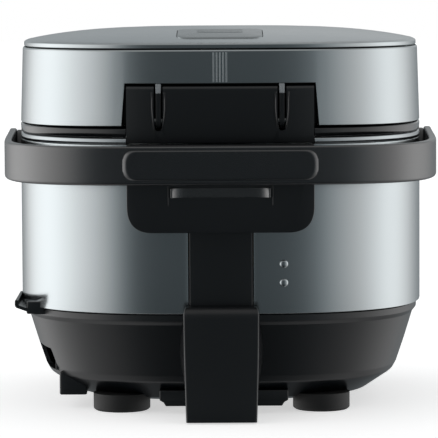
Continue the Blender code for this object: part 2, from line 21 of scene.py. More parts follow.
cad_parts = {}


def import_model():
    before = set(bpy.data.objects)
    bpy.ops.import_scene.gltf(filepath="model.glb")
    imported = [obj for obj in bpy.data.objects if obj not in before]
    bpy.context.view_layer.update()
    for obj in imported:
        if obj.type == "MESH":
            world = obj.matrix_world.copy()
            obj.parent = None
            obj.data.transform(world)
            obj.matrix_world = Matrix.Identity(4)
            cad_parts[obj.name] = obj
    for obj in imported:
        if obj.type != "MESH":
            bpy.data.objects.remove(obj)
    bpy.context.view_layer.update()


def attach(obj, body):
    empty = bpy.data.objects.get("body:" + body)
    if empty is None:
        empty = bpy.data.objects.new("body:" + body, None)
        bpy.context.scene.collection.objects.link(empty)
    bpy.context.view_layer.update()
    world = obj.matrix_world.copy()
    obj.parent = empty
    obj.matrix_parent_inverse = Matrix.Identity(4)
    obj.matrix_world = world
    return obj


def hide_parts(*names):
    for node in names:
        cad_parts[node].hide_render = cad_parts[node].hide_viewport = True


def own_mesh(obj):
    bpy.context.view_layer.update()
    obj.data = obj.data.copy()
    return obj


LOG = logging.getLogger("rice_cooker")
MM = 0.001
FINE = 192                 # columns round a body-sized hoop
TURNED = 96                # columns round a turned part
PLAN_POWER = 3.0           # squareness of the body seen from above
CIRCLE = 2.0               # power of a true circle
HAIRLINE_STRETCH = (1.0, 1.0, 14.0)    # squeezes the brushed pattern into level lines
PATCHES_PER_METRE = 18.0   # how close together a finish's colour patches lie
COAT_ROUGHNESS = 0.08      # every clear top coat
HANDLE_AXIS_Z = 163.4      # height of the handle's pivots

Point2 = tuple[float, float]
Point3 = tuple[float, float, float]
Colour = tuple[float, float, float, float]


# ------------------------------------------------------------------------------------ finishes


def linear_colour(code: str) -> Colour:
    """Turn an sRGB hex colour into linear RGBA.

    Args:
        code: Six hex digits, such as "3A4045".

    Returns:
        The colour as linear red, green, blue and an alpha of 1.
    """
    values = [int(code[index:index + 2], 16) / 255.0 for index in (0, 2, 4)]
    red, green, blue = (
        value / 12.92 if value <= 0.04045 else ((value + 0.055) / 1.055) ** 2.4 for value in values
    )
    return red, green, blue, 1.0


def add_node(
    tree: bpy.types.NodeTree,
    kind: str,
    settings: dict[str, object] | None = None,
    links: dict[str | int, bpy.types.NodeSocket] | None = None,
) -> bpy.types.Node:
    """Add one node with its settings and incoming links.

    Args:
        tree: The tree that the node joins.
        kind: The node's Blender type name.
        settings: Values by input name, or by attribute name where no input has it.
        links: Sockets that feed the node's inputs, by input name or index.

    Returns:
        The new node.
    """
    node = tree.nodes.new(kind)
    for name, value in (settings or {}).items():
        if hasattr(node, name):
            setattr(node, name, value)
        else:
            node.inputs[name].default_value = value
    for name, socket in (links or {}).items():
        tree.links.new(socket, node.inputs[name])
    return node


class Grain(Enum):
    """How a surface was made, which decides the pattern that its bump and gloss follow."""

    BRUSHED = "brushed"        # hairlines that run round the body, coarser than real ones
    SPARKED = "sparked"        # fine leather-like grain of a spark-eroded mould
    SPECKLED = "speckled"      # droplets of a sprayed coating
    POLISHED = "polished"      # faint waviness of a polished mould or a drawn sheet


@dataclass(frozen=True)
class Finish:
    """One finish: a base material and the way that its surface was made.

    Attributes:
        title: The material's name.
        colour: Its base colour as sRGB hex.
        tint: The colour of its lighter or darker patches as sRGB hex.
        roughness: Mean roughness.
        spread: How far roughness strays from its mean.
        metallic: 1 for bare metal, 0 for plastic and rubber, between for metal-flake lacquer.
        grain: The surface's pattern.
        grain_mm: Size of one feature of the pattern, in millimetres, coarser than the real
            grain where that is too fine to show.
        relief_mm: Height of the pattern, in millimetres.
        ior: Index of refraction; a metal keeps 1.5.
        coat: Weight of a clear top coat.
        tint_share: How strongly the patches show, 0 to 1.
    """

    title: str
    colour: str
    tint: str
    roughness: float
    spread: float = 0.05
    metallic: float = 0.0
    grain: Grain = Grain.SPARKED
    grain_mm: float = 0.8
    relief_mm: float = 0.02
    ior: float = 1.5
    coat: float = 0.0
    tint_share: float = 0.3

    def material(self) -> bpy.types.Material:
        """Return the material, making it on first use.

        Returns:
            The Blender material of this finish.
        """
        if self.title in bpy.data.materials:
            return bpy.data.materials[self.title]
        material = bpy.data.materials.new(self.title)
        material.use_nodes = True
        tree = material.node_tree
        shader = tree.nodes["Principled BSDF"]
        shader.inputs["Metallic"].default_value = self.metallic
        shader.inputs["IOR"].default_value = self.ior
        shader.inputs["Coat Weight"].default_value = self.coat
        shader.inputs["Coat Roughness"].default_value = COAT_ROUGHNESS

        place = add_node(tree, "ShaderNodeTexCoord")
        stretch = HAIRLINE_STRETCH if self.grain is Grain.BRUSHED else (1.0, 1.0, 1.0)
        mapping = add_node(tree, "ShaderNodeMapping", {"Scale": stretch},
                           {"Vector": place.outputs["Object"]})
        pattern = self._pattern(tree, mapping.outputs["Vector"])

        patches = add_node(tree, "ShaderNodeTexNoise", {"Scale": PATCHES_PER_METRE, "Detail": 3.0},
                           {"Vector": place.outputs["Object"]})
        share = add_node(tree, "ShaderNodeMath", {"operation": "MULTIPLY"}, {0: patches.outputs["Fac"]})
        share.inputs[1].default_value = self.tint_share
        blend = add_node(tree, "ShaderNodeMix", {"data_type": "RGBA"}, {0: share.outputs[0]})
        blend.inputs[6].default_value = linear_colour(self.colour)
        blend.inputs[7].default_value = linear_colour(self.tint)
        tree.links.new(blend.outputs[2], shader.inputs["Base Color"])

        stray = add_node(tree, "ShaderNodeMapRange", {
            "To Min": max(0.02, self.roughness - self.spread),
            "To Max": min(1.0, self.roughness + self.spread),
        }, {"Value": pattern})
        tree.links.new(stray.outputs["Result"], shader.inputs["Roughness"])

        bump = add_node(tree, "ShaderNodeBump", {"Strength": 0.6, "Distance": self.relief_mm * MM},
                        {"Height": pattern})
        tree.links.new(bump.outputs["Normal"], shader.inputs["Normal"])
        return material

    def _pattern(self, tree: bpy.types.NodeTree, vector: bpy.types.NodeSocket) -> bpy.types.NodeSocket:
        """Add the nodes of the surface pattern.

        Args:
            tree: The material's tree.
            vector: The pattern's coordinates.

        Returns:
            A socket with the pattern's height, 0 to 1.
        """
        scale = 1.0 / (self.grain_mm * MM)
        if self.grain is Grain.SPECKLED:
            cells = add_node(tree, "ShaderNodeTexVoronoi", {"Scale": scale}, {"Vector": vector})
            return cells.outputs["Distance"]
        detail = {Grain.BRUSHED: 2.0, Grain.SPARKED: 4.0, Grain.POLISHED: 1.0}[self.grain]
        noise = add_node(tree, "ShaderNodeTexNoise", {"Scale": scale, "Detail": detail},
                         {"Vector": vector})
        return noise.outputs["Fac"]


# Stainless steel, satin rolled and clear coated: a cool grey that blurs what it mirrors.
SATIN_STEEL = Finish(
    "stainless_satin", "BAC0C2", "C2C8CA", 0.21, 0.03, 1.0, Grain.BRUSHED, 9.0, 0.004,
)
# The same sheet on the lid, a little duller from its deep drawing.
LID_STEEL = Finish(
    "stainless_drawn", "B8BEC0", "C0C6C8", 0.22, 0.03, 1.0, Grain.BRUSHED, 9.0, 0.004,
)
# Chrome plate of the shoulder ring: a soft grey mirror.
CHROME_PLATE = Finish(
    "chrome_plate", "A9AEB1", "B4B8BA", 0.20, 0.03, 1.0, Grain.POLISHED, 20.0, 0.003,
)
# Zinc plated steel of hidden hinge and latch parts: dull with pale patches.
ZINC_STEEL = Finish(
    "zinc_plated_steel", "9DA0A0", "B5B7B2", 0.42, 0.08, 1.0, Grain.SPECKLED, 2.5, 0.006,
)
# Anodised aluminium of the heating parts and the inner lid: pale, with turning lines.
ALUMINIUM = Finish(
    "anodised_aluminium", "B9BCBE", "C4C6C7", 0.34, 0.06, 1.0, Grain.BRUSHED, 5.0, 0.006,
)
# Black polypropylene from a spark-eroded mould: satin, so it greys where it mirrors the room.
# Its index, like that of the nylon, the rubber and the worn lip below, starts from about 1.5
# and is raised until the sheen is as strong as the real one's.
SATIN_BLACK = Finish(
    "black_moulded_pp", "070A0D", "0C0F12", 0.31, 0.05, 0.0, Grain.SPARKED, 0.9, 0.005, ior=1.65,
)
# Glass-filled nylon of the handle: harder and smoother, so its ends catch more light.
HANDLE_NYLON = Finish(
    "black_nylon", "080A0D", "0A0C0F", 0.25, 0.01, 0.0, Grain.SPARKED, 0.8, 0.0005, ior=2.2,
)
# Polished black ABS of the top frame and the fascia: sharp dark reflections.
GLOSS_BLACK = Finish(
    "black_gloss_abs", "0C0D0F", "101214", 0.10, 0.03, 0.0, Grain.POLISHED, 30.0, 0.003, coat=0.4,
)
# Thermoplastic rubber of the grip, worn satin by hands: soft highlights on its rims.
GRIP_RUBBER = Finish(
    "grip_tpe", "080B0E", "0A0D10", 0.25, 0.015, 0.0, Grain.SPARKED, 0.7, 0.001, ior=1.95,
)
# Nitrile rubber of the feet and nubs: matt, nearly without highlights.
FOOT_RUBBER = Finish(
    "black_rubber", "121212", "1A1A1A", 0.62, 0.08, 0.0, Grain.SPARKED, 0.6, 0.02,
)
# Silicone of the gasket and the duct: pale, soft and slightly uneven.
GASKET_SILICONE = Finish(
    "grey_silicone", "8E9294", "9A9EA0", 0.48, 0.06, 0.0, Grain.POLISHED, 6.0, 0.01,
)
# Grey metal-flake lacquer of the steam cap, which continues the lid's colour.
GREY_LACQUER = Finish(
    "grey_lacquer", "949A9C", "9CA2A4", 0.26, 0.03, 0.8, Grain.POLISHED, 12.0, 0.003,
)
# Polypropylene that fingers have polished, on the collector's lip: a narrow bright line.
SMOOTH_BLACK = Finish(
    "worn_smooth_pp", "0E0F10", "131517", 0.24, 0.03, 0.0, Grain.POLISHED, 8.0, 0.002, ior=2.1,
    coat=0.6,
)
# Pale grey acetal of the arms' cheeks, the keys and the open button: low, even sheen.
GREY_ACETAL = Finish(
    "grey_acetal", "767B7E", "82878A", 0.42, 0.05, 0.0, Grain.SPARKED, 0.7, 0.008,
)
# Fluoropolymer coating inside the pot: dark with fine pale speckles.
POT_COATING = Finish(
    "nonstick_coating", "2B2B2D", "55565A", 0.38, 0.10, 0.0, Grain.SPECKLED, 1.6, 0.015,
    tint_share=0.6,
)
# Woven glass tape over the heater wires: straw coloured and quite matt.
HEATER_TAPE = Finish(
    "glass_tape", "8B7B55", "A39263", 0.75, 0.08, 0.0, Grain.SPECKLED, 1.2, 0.05,
)
# Drawn music wire of the springs: bright along its length.
SPRING_WIRE = Finish(
    "music_wire", "8D9092", "A0A3A4", 0.28, 0.05, 1.0, Grain.BRUSHED, 2.0, 0.004,
)
# Turned brass of the inlet's pins: warm yellow mirror.
BRASS_PIN = Finish(
    "brass", "B5934E", "C2A25E", 0.26, 0.06, 1.0, Grain.POLISHED, 3.0, 0.003,
)
# Solder mask on glass-epoxy boards: deep green under a thin gloss.
CIRCUIT_BOARD = Finish(
    "solder_mask", "1E5B35", "17492A", 0.38, 0.06, 0.0, Grain.SPECKLED, 3.0, 0.02, coat=0.3,
)
# Smoked acrylic of the display: nearly black and sharply glossy.
DISPLAY_GLASS = Finish(
    "smoked_acrylic", "10171A", "0D1214", 0.06, 0.02, 0.0, Grain.POLISHED, 40.0, 0.002, coat=0.6,
)
# Pad-printed ink of the figures and the level marks: flat pale grey.
PRINTED_GREY = Finish(
    "pad_printed_grey", "9AA0A3", "A6ACAF", 0.5, 0.04, 0.0, Grain.POLISHED, 5.0, 0.001,
)


# ------------------------------------------------------------------------------------ mesh tools


def plan_point(angle: float, half_x: float, half_y: float, power: float = PLAN_POWER) -> Point2:
    """Find a point of a superellipse.

    Args:
        angle: Direction from the centre, in radians from +X.
        half_x: Half width.
        half_y: Half depth.
        power: 2 for an ellipse, and more for squarer corners.

    Returns:
        The point's x and y.
    """
    cosine, sine = math.cos(angle), math.sin(angle)
    radius = (abs(cosine / half_x) ** power + abs(sine / half_y) ** power) ** (-1.0 / power)
    return radius * cosine, radius * sine


def plan_depth(x: float, half: float, power: float = PLAN_POWER) -> float:
    """Return how deep a square superellipse reaches behind its centre at a given x."""
    return half * max(0.0, 1.0 - abs(x / half) ** power) ** (1.0 / power)


def fillet(points: Sequence[Point2], radii: Sequence[float] | float, steps: int = 4) -> list[Point2]:
    """Round the corners of a closed outline.

    Args:
        points: The outline's corners in order.
        radii: One radius, or a radius for each corner.
        steps: Segments of each arc.

    Returns:
        The outline with each corner replaced by an arc.
    """
    amounts = [radii] * len(points) if isinstance(radii, (int, float)) else list(radii)
    result: list[Point2] = []
    for index, corner in enumerate(points):
        here = Vector(corner)
        before = Vector(points[index - 1]) - here
        after = Vector(points[(index + 1) % len(points)]) - here
        turn = before.angle(after, math.pi)
        if amounts[index] <= 0.0 or not math.radians(4) < turn < math.radians(176):
            result.append(tuple(here))
            continue
        reach = min(amounts[index] / math.tan(turn / 2), 0.48 * before.length, 0.48 * after.length)
        start, end = here + before.normalized() * reach, here + after.normalized() * reach
        for step in range(steps + 1):
            share = step / steps
            inside = (1 - share) ** 2 * start + 2 * share * (1 - share) * here + share ** 2 * end
            result.append((inside.x, inside.y))
    return result


def oblong(
    left: float, low: float, right: float, high: float, radii: Sequence[float] | float, steps: int = 4
) -> list[Point2]:
    """Outline an upright rectangle with rounded corners.

    Args:
        left: Least first coordinate.
        low: Least second coordinate.
        right: Greatest first coordinate.
        high: Greatest second coordinate.
        radii: One radius, or four from the low left corner, low right next.
        steps: Segments of each arc.

    Returns:
        The outline.
    """
    return fillet([(left, low), (right, low), (right, high), (left, high)], radii, steps)


def squaring(round_half: float, reach: float) -> Callable[[float], float]:
    """Blend a hoop's plan from a round hole to the body's squarer outside.

    Args:
        round_half: Half width up to which the plan is a circle.
        reach: How much wider it is where it has the body's squareness.

    Returns:
        The plan's power as a function of half width.
    """
    def power(half: float) -> float:
        """Return the power at a half width."""
        share = min(1.0, max(0.0, (half - round_half) / reach))
        return CIRCLE + (PLAN_POWER - CIRCLE) * share

    return power


def mesh_piece(name: str, shape: bmesh.types.BMesh) -> bpy.types.Object:
    """Turn a bmesh in millimetres into an object in metres.

    Args:
        name: The object's name.
        shape: The bmesh, which is freed.

    Returns:
        The linked object.
    """
    bmesh.ops.scale(shape, vec=(MM, MM, MM), verts=shape.verts)
    bmesh.ops.recalc_face_normals(shape, faces=shape.faces)
    mesh = bpy.data.meshes.new(name)
    shape.to_mesh(mesh)
    shape.free()
    body = bpy.data.objects.new(name, mesh)
    bpy.context.scene.collection.objects.link(body)
    return body


def skin(name: str, columns: Sequence[Sequence[Point3]], wrap: bool = True) -> bpy.types.Object:
    """Join closed sections, set side by side, into one solid.

    Args:
        name: The object's name.
        columns: Closed sections with equal point counts, in millimetres.
        wrap: Join the last section to the first; otherwise both ends are capped.

    Returns:
        The solid.
    """
    shape = bmesh.new()
    rows = [[shape.verts.new(point) for point in column] for column in columns]
    pairs = list(zip(rows, rows[1:]))
    if wrap:
        pairs.append((rows[-1], rows[0]))
    else:
        shape.faces.new(rows[0])
        shape.faces.new(rows[-1])
    count = len(rows[0])
    for left, right in pairs:
        for index in range(count):
            after = (index + 1) % count
            shape.faces.new((left[index], left[after], right[after], right[index]))
    return mesh_piece(name, shape)


def around(
    count: int, start: float = 0.0, end: float = 2 * math.pi, open_end: bool = True
) -> list[float]:
    """List evenly spaced angles.

    Args:
        count: How many steps there are.
        start: First angle in radians.
        end: Last angle in radians.
        open_end: Leave out the last angle, as a closed turn needs.

    Returns:
        The angles.
    """
    return [start + (end - start) * step / count for step in range(count + (0 if open_end else 1))]


def hoop(
    name: str,
    profile: Sequence[Point2],
    power: float | Callable[[float], float] = PLAN_POWER,
    angles: Sequence[float] | None = None,
    wrap: bool = True,
) -> bpy.types.Object:
    """Run a closed profile of (half width, height) round the body's plan.

    Args:
        name: The object's name.
        profile: The closed section.
        power: The plan's squareness, or a function of half width that gives it.
        angles: Directions of the columns; a full turn when left out.
        wrap: Close the hoop.

    Returns:
        The hoop.
    """
    squareness = power if callable(power) else (lambda _half: power)
    columns = []
    for angle in angles or around(FINE):
        columns.append([
            (*plan_point(angle, half, half, squareness(half)), height) for half, height in profile
        ])
    return skin(name, columns, wrap)


def turned(
    name: str, profile: Sequence[Point2], centre: Point2 = (0.0, 0.0), count: int = TURNED
) -> bpy.types.Object:
    """Turn a closed profile of (radius, height) about an upright axis.

    Args:
        name: The object's name.
        profile: The closed section; a radius of 0 is kept just off the axis by a pin hole.
        centre: The axis in plan.
        count: Columns in a turn.

    Returns:
        The turned solid.
    """
    columns = []
    for angle in around(count):
        columns.append([
            (centre[0] + radius * math.cos(angle), centre[1] + radius * math.sin(angle), height)
            for radius, height in profile
        ])
    return skin(name, columns)


def stack(name: str, rings: Sequence[Sequence[Point3]]) -> bpy.types.Object:
    """Skin outlines from one end to the other and cap both ends.

    Args:
        name: The object's name.
        rings: Outlines with equal point counts.

    Returns:
        The solid.
    """
    return skin(name, rings, wrap=False)


def slab(
    name: str, outline: Sequence[Point2], axis: str, low: float, high: float, edge: float = 0.0
) -> bpy.types.Object:
    """Extrude an outline along an axis and round the rims of its two faces.

    Args:
        name: The object's name.
        outline: The outline, in (Y, Z) for axis X, (X, Z) for axis Y and (X, Y) for axis Z.
        axis: "X", "Y" or "Z".
        low: Where it starts.
        high: Where it ends.
        edge: Radius of the rims.

    Returns:
        The slab.
    """
    place: dict[str, Callable[[Point2, float], Point3]] = {
        "X": lambda point, level: (level, point[0], point[1]),
        "Y": lambda point, level: (point[0], level, point[1]),
        "Z": lambda point, level: (point[0], point[1], level),
    }
    body = stack(name, [[place[axis](point, level) for point in outline] for level in (low, high)])
    if edge > 0.0:
        round_edges(body, edge, 55.0)
    return body


def brick(name: str, low: Point3, high: Point3, edge: float = 0.5) -> bpy.types.Object:
    """Make a box between two corners.

    Args:
        name: The object's name.
        low: The corner with the least coordinates.
        high: The corner with the greatest coordinates.
        edge: Radius of its edges.

    Returns:
        The box.
    """
    outline = [(low[0], low[1]), (high[0], low[1]), (high[0], high[1]), (low[0], high[1])]
    body = slab(name, outline, "Z", low[2], high[2])
    if edge > 0.0:
        round_edges(body, edge, 30.0)
    return body


def bar(
    name: str, start: Point3, end: Point3, radius: float, edge: float = 0.0, count: int = 48
) -> bpy.types.Object:
    """Make a round bar between two points.

    Args:
        name: The object's name.
        start: Centre of one end.
        end: Centre of the other end.
        radius: The bar's radius.
        edge: Radius of its rims.
        count: Sides in a turn.

    Returns:
        The bar.
    """
    first, last = Vector(start), Vector(end)
    along = last - first
    shape = bmesh.new()
    turn = Vector((0, 0, 1)).rotation_difference(along).to_matrix().to_4x4()
    bmesh.ops.create_cone(shape, cap_ends=True, segments=count, radius1=radius, radius2=radius,
                          depth=along.length, matrix=Matrix.Translation((first + last) / 2) @ turn)
    body = mesh_piece(name, shape)
    if edge > 0.0:
        round_edges(body, edge, 55.0)
    return body


def bake(body: bpy.types.Object) -> bpy.types.Object:
    """Replace a body's mesh with what its modifiers make of it.

    Args:
        body: The body, whose modifiers are cleared.

    Returns:
        The body.
    """
    graph = bpy.context.evaluated_depsgraph_get()
    graph.update()
    mesh = bpy.data.meshes.new_from_object(body.evaluated_get(graph))
    old = body.data
    body.modifiers.clear()
    body.data = mesh
    bpy.data.meshes.remove(old)
    return body


def round_edges(body: bpy.types.Object, width: float, angle: float = 40.0, segments: int = 3) -> None:
    """Round a body's edges that turn by more than an angle.

    Args:
        body: The body, whose mesh is replaced.
        width: Radius in millimetres.
        angle: Least turn in degrees.
        segments: Segments across the round.
    """
    bevel = body.modifiers.new("round", "BEVEL")
    bevel.width = width * MM
    bevel.segments = segments
    bevel.limit_method = "ANGLE"
    bevel.angle_limit = math.radians(angle)
    bake(body)


def combine(body: bpy.types.Object, tool: bpy.types.Object, how: str = "DIFFERENCE") -> bpy.types.Object:
    """Cut, join or intersect a body with a tool, and remove the tool.

    Args:
        body: The body that is changed.
        tool: The closed mesh that acts on it.
        how: DIFFERENCE, UNION or INTERSECT.

    Returns:
        The body.
    """
    boolean = body.modifiers.new(how, "BOOLEAN")
    boolean.operation = how
    boolean.object = tool
    bake(body)
    bpy.data.objects.remove(tool, do_unlink=True)
    return body


def dress(
    body: bpy.types.Object,
    finish: Finish,
    rides: str,
    nodes: Sequence[str] = (),
    smooth: float = 32.0,
) -> bpy.types.Object:
    """Give a piece its finish, its body and the solids that it stands for.

    Args:
        body: The piece.
        finish: Its finish.
        rides: The body that it moves with.
        nodes: Engineering solids that it replaces.
        smooth: Edges that turn by less than this, in degrees, are shaded smooth.

    Returns:
        The piece.
    """
    body.data.materials.clear()
    body.data.materials.append(finish.material())
    body.data.shade_smooth()
    body.data.set_sharp_from_angle(angle=math.radians(smooth))
    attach(body, rides)
    if nodes:
        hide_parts(*nodes)
    LOG.info("%s: %d faces, rides %s", body.name, len(body.data.polygons), rides)
    return body


def keep(node: str, finish: Finish) -> bpy.types.Object:
    """Leave an engineering solid in place and give it a finish and smooth shading.

    Args:
        node: The solid's name.
        finish: Its finish.

    Returns:
        The solid.
    """
    body = bpy.data.objects[node]
    body.data.materials.clear()
    body.data.materials.append(finish.material())
    body.data.shade_smooth()
    body.data.set_sharp_from_angle(angle=math.radians(38))
    LOG.info("%s: kept as modelled", node)
    return body


# ------------------------------------------------------------------------------------ body


@dataclass
class Body:
    """The cooker's metal sleeve, rings and rear column, all fixed.

    Attributes:
        half: Half width and half depth of the sleeve.
        sleeve_low: Lower edge of the sleeve.
        sleeve_high: Upper edge of the sleeve, under the bright ring.
        wall: Thickness of the sleeve.
        slot_half: Half width of the gap in the sleeve that the rear column fills.
        column_half: Half width of the rear column.
        column_rear: How far back the column reaches.
        pip_x: Place of the two pips across the back.
        pip_radius: Radius of a pip.
    """

    half: float = 133.0
    sleeve_low: float = 67.3
    sleeve_high: float = 175.0
    wall: float = 1.2
    slot_half: float = 20.9
    column_half: float = 20.2
    column_rear: float = 132.7
    pip_x: float = -40.0
    pip_radius: float = 3.0

    def build(self) -> None:
        """Build and dress every piece of the body."""
        self._sleeve()
        self._rings()
        self._column()
        self._pips()

    def _sleeve(self) -> None:
        """Roll the sleeve as one open hoop whose ends meet the rear column."""
        slot = math.atan2(plan_depth(self.slot_half, self.half), self.slot_half)
        angles = around(FINE, math.pi - slot, 2 * math.pi + slot, open_end=False)
        inner = self.half - self.wall
        profile = fillet([
            (self.half, self.sleeve_low), (self.half, self.sleeve_high),
            (inner, self.sleeve_high), (inner, self.sleeve_low),
        ], 0.5, 3)
        sleeve = hoop("metal_sleeve", profile, PLAN_POWER, angles, wrap=False)
        combine(sleeve, brick("opening", (-60, -140, 90), (60, -110, 170), 0.0))
        combine(sleeve, bar("bore", (-150, 0, HANDLE_AXIS_Z), (150, 0, HANDLE_AXIS_Z), 6.6))
        round_edges(sleeve, 0.35, 60.0, 2)
        dress(sleeve, SATIN_STEEL, "cooker", ["outer_sleeve"])

    def _rings(self) -> None:
        """Turn the bright shoulder ring and the glossy frame round the pot's opening."""
        gap = math.atan2(plan_depth(60.1, self.half), 60.1)
        angles = around(FINE, math.pi - gap, 2 * math.pi + gap, open_end=False)
        bright = fillet([(132.9, 175.3), (133.2, 176.8), (132.7, 178.7), (131.6, 179.6), (128.5, 179.6),
                         (128.5, 175.3)], [0.3, 1.5, 1.2, 0.8, 0.4, 0.4], 4)
        dress(hoop("shoulder_trim", bright, PLAN_POWER, angles, wrap=False), CHROME_PLATE, "cooker",
              ["shoulder_ring"])

        frame = fillet([
            (132.7, 179.9), (133.0, 184.6), (132.0, 185.5), (106.0, 185.5), (103.6, 184.4),
            (102.9, 182.6), (102.9, 179.9),
        ], [0.4, 1.0, 0.6, 1.5, 0.8, 0.8, 0.3], 3)
        ring = hoop("pot_opening_frame", frame, squaring(104.0, 20.0))
        combine(ring, brick("hinge_gap", (-60.1, 105.5, 170), (60.1, 145, 190), 0.0))
        combine(ring, brick("strike_gap", (-9.5, -123.8, 170), (9.5, -112.8, 190), 0.0))
        dress(ring, GLOSS_BLACK, "cooker", ["top_frame"])

    def _column(self) -> None:
        """Mould the rear column with eased edges."""
        outline = oblong(-self.column_half, 124, self.column_half, self.column_rear,
                         [0.3, 0.3, 0.9, 0.9])
        column = slab("rear_column_moulding", outline, "Z", 67.2, 175.4)
        dress(column, SATIN_BLACK, "cooker", ["rear_column"])

    def _pips(self) -> None:
        """Press two small domes, each in a shallow collar, beside the column."""
        wall = plan_depth(self.pip_x, self.half)
        for name, height in (("upper", 99.0), ("lower", 87.0)):
            profile = [(0.05, 0.1), (self.pip_radius, 0.1), (self.pip_radius, 0.5)]
            profile += [
                (self.pip_radius * 0.92 * math.cos(turn), 0.5 + 1.25 * math.sin(turn))
                for turn in around(6, 0.0, math.pi / 2 * 0.98, open_end=False)
            ]
            dome = turned(f"sleeve_dome_{name}", profile, count=40)
            lean = math.atan2(abs(self.pip_x) ** 2, wall ** 2)
            place = Matrix.Translation(Vector((self.pip_x, wall, height)) * MM)
            turn = Matrix.Rotation(lean, 4, "Z") @ Matrix.Rotation(-math.pi / 2, 4, "X")
            dome.data.transform(place @ turn)
            dress(dome, SATIN_STEEL, "cooker", [f"sleeve_pip_{name}"])


@dataclass
class Base:
    """The black moulded base with its leg, feet, inlet and scoop tray.

    Attributes:
        profile: Outside of the shell as (half width, height), floor to lip.
        hole: Radius of the service hole.
        leg_low: Bottom of the rear leg.
        leg_top: Shoulder of the rear leg.
        foot_x: Place of the feet across.
        foot_y: Place of the feet fore and aft.
    """

    profile: tuple[Point2, ...] = (
        (85.0, 6.0), (98.0, 9.0), (110.5, 17.8), (115.0, 21.0), (117.5, 25.5), (122.7, 41.0),
        (128.3, 59.5), (129.9, 61.4), (130.6, 62.4), (130.6, 66.6),
    )
    hole: float = 58.0
    leg_low: float = 0.9
    leg_top: float = 72.4
    foot_x: float = 65.0
    foot_y: float = 85.5

    def build(self) -> None:
        """Build and dress every piece of the base."""
        self._shell()
        self._leg()
        self._feet()
        self._inlet()
        self._tray()

    def _shell(self) -> None:
        """Loft the shell, then join its rear skirt and inlet housing and open its inlet window."""
        inner = [(128.0, 66.6), (128.0, 64.0), (115.0, 26.0), (108.0, 20.5), (95.5, 11.5), (82.5, 8.5),
                 (self.hole, 8.5)]
        corners = [(self.hole, 6.0), *self.profile, *inner]
        radii = [0.3, 6.0, 6.0, 3.0, 6.0, 6.0, 12.0, 0.8, 0.8, 0.5, 0.6] + [0.5] * len(inner)
        shell = hoop("base_moulding", fillet(corners, radii, 4), squaring(self.hole, 24.0))
        skirt = fillet([
            (-43, 15.5), (-43, 9.0), (-40.5, 7.6), (-39, 5.2), (36, 5.2), (37.5, 7.6), (40, 9.0),
            (40, 15.5),
        ], 0.8, 3)
        combine(shell, slab("skirt", skirt, "Y", 72, 111, 0.9), "UNION")
        arch = [(y, 8.4 + 1.7 * math.sin(math.pi * (y - 30) / 48)) for y in range(30, 79, 4)]
        housing = slab("housing", [*arch, (78, 23.6), (30, 23.6)], "X", 88, 106, 1.2)
        combine(shell, housing, "UNION")
        window = fillet([(36, 24.0), (74, 24.0), (75.5, 39.0), (36, 40.5)], 1.0, 3)
        combine(shell, slab("window", window, "X", 98, 130))
        dress(shell, SATIN_BLACK, "cooker", ["base_shell"])

        cover = fillet([(8, 3.2), (58.8, 3.2), (60, 4.4), (60, 5.7), (8, 5.7)], 0.5, 3)
        plate = turned("base_service_cover", cover)
        for index in range(14):
            x = -39 + 6 * index
            reach = math.sqrt(50 ** 2 - x ** 2)
            if abs(x) > 10:
                combine(plate, brick("vent", (x - 1.2, -reach, 2), (x + 1.2, reach, 7), 0.0))
        dress(plate, SATIN_BLACK, "cooker", ["base_cover"])

    def _leg(self) -> None:
        """Mould the rear leg: a tapering face with flared cheeks that lie against the base."""
        heights = [self.leg_low, 2.2, 8, 14, 22, 28, 34, 40, 46, 52, 58, 62, 65, 68, 70, 71.5,
                   self.leg_top]
        sections = []
        for height in heights:
            share = min(1.0, height / 71.5)
            half = 22.4 + 1.8 * share ** 0.8
            rear = 157.0 - 12.0 * max(0.0, (height - 6) / 62) ** 0.8
            if height > 67.0:
                round_over = (height - 67.0) / (self.leg_top - 67.0)
                half -= 1.6 * round_over ** 2.2
                rear -= 2.6 * round_over ** 2.2
            flare = 3.0 * math.sin(math.pi * min(1.0, max(0.0, (height - 20) / 42)))
            front = max(113.0, 1.5 + plan_depth(12.0, self._half_at(height)))
            middle = (front + rear) / 2 - 6
            outline = [(-half - flare, front), (-half - flare * 0.75, middle), (-half, rear),
                       (half, rear), (half + flare * 0.75, middle), (half + flare, front)]
            rounded = fillet(outline, [0.4, 4.0, 1.3, 1.3, 4.0, 0.4], 4)
            sections.append([(x, y, height) for x, y in rounded])
        leg = stack("rear_leg_moulding", sections)
        dress(leg, SATIN_BLACK, "cooker", ["rear_leg"])
        for name, x in (("left", 11.5), ("right", -11.5)):
            pad = turned(f"leg_nub_{name}", fillet([(0.05, 0.0), (3.5, 0.0), (3.5, 1.0), (0.05, 1.0)],
                                                   [0, 0.5, 0.1, 0], 3), (x, 143), 32)
            dress(pad, FOOT_RUBBER, "cooker", [f"leg_pad_{name}"])

    def _half_at(self, height: float) -> float:
        """Find how wide the body is at a height.

        Args:
            height: The height.

        Returns:
            The half width there.
        """
        if height >= self.profile[-1][1]:
            return 133.0
        for (low_half, low), (high_half, high) in zip(self.profile, self.profile[1:]):
            if low <= height <= high and high > low:
                return low_half + (high_half - low_half) * (height - low) / (high - low)
        return self.profile[0][0]

    def _feet(self) -> None:
        """Turn four rubber feet with well rounded soles, each with a screw recess."""
        profile = fillet([(4, 0.0), (16.8, 0.0), (18.5, 1.2), (18.5, 5.0), (18.5, 11.5), (4, 11.5)],
                         [0.4, 1.2, 1.2, 1.0, 0.3, 0.3], 5)
        for side, x in (("left", self.foot_x), ("right", -self.foot_x)):
            for end, y in (("rear", self.foot_y), ("front", -self.foot_y)):
                foot = turned(f"foot_{end}_{side}_pad", profile, (x, y), 64)
                dress(foot, FOOT_RUBBER, "cooker", [f"foot_{end}_{side}"])

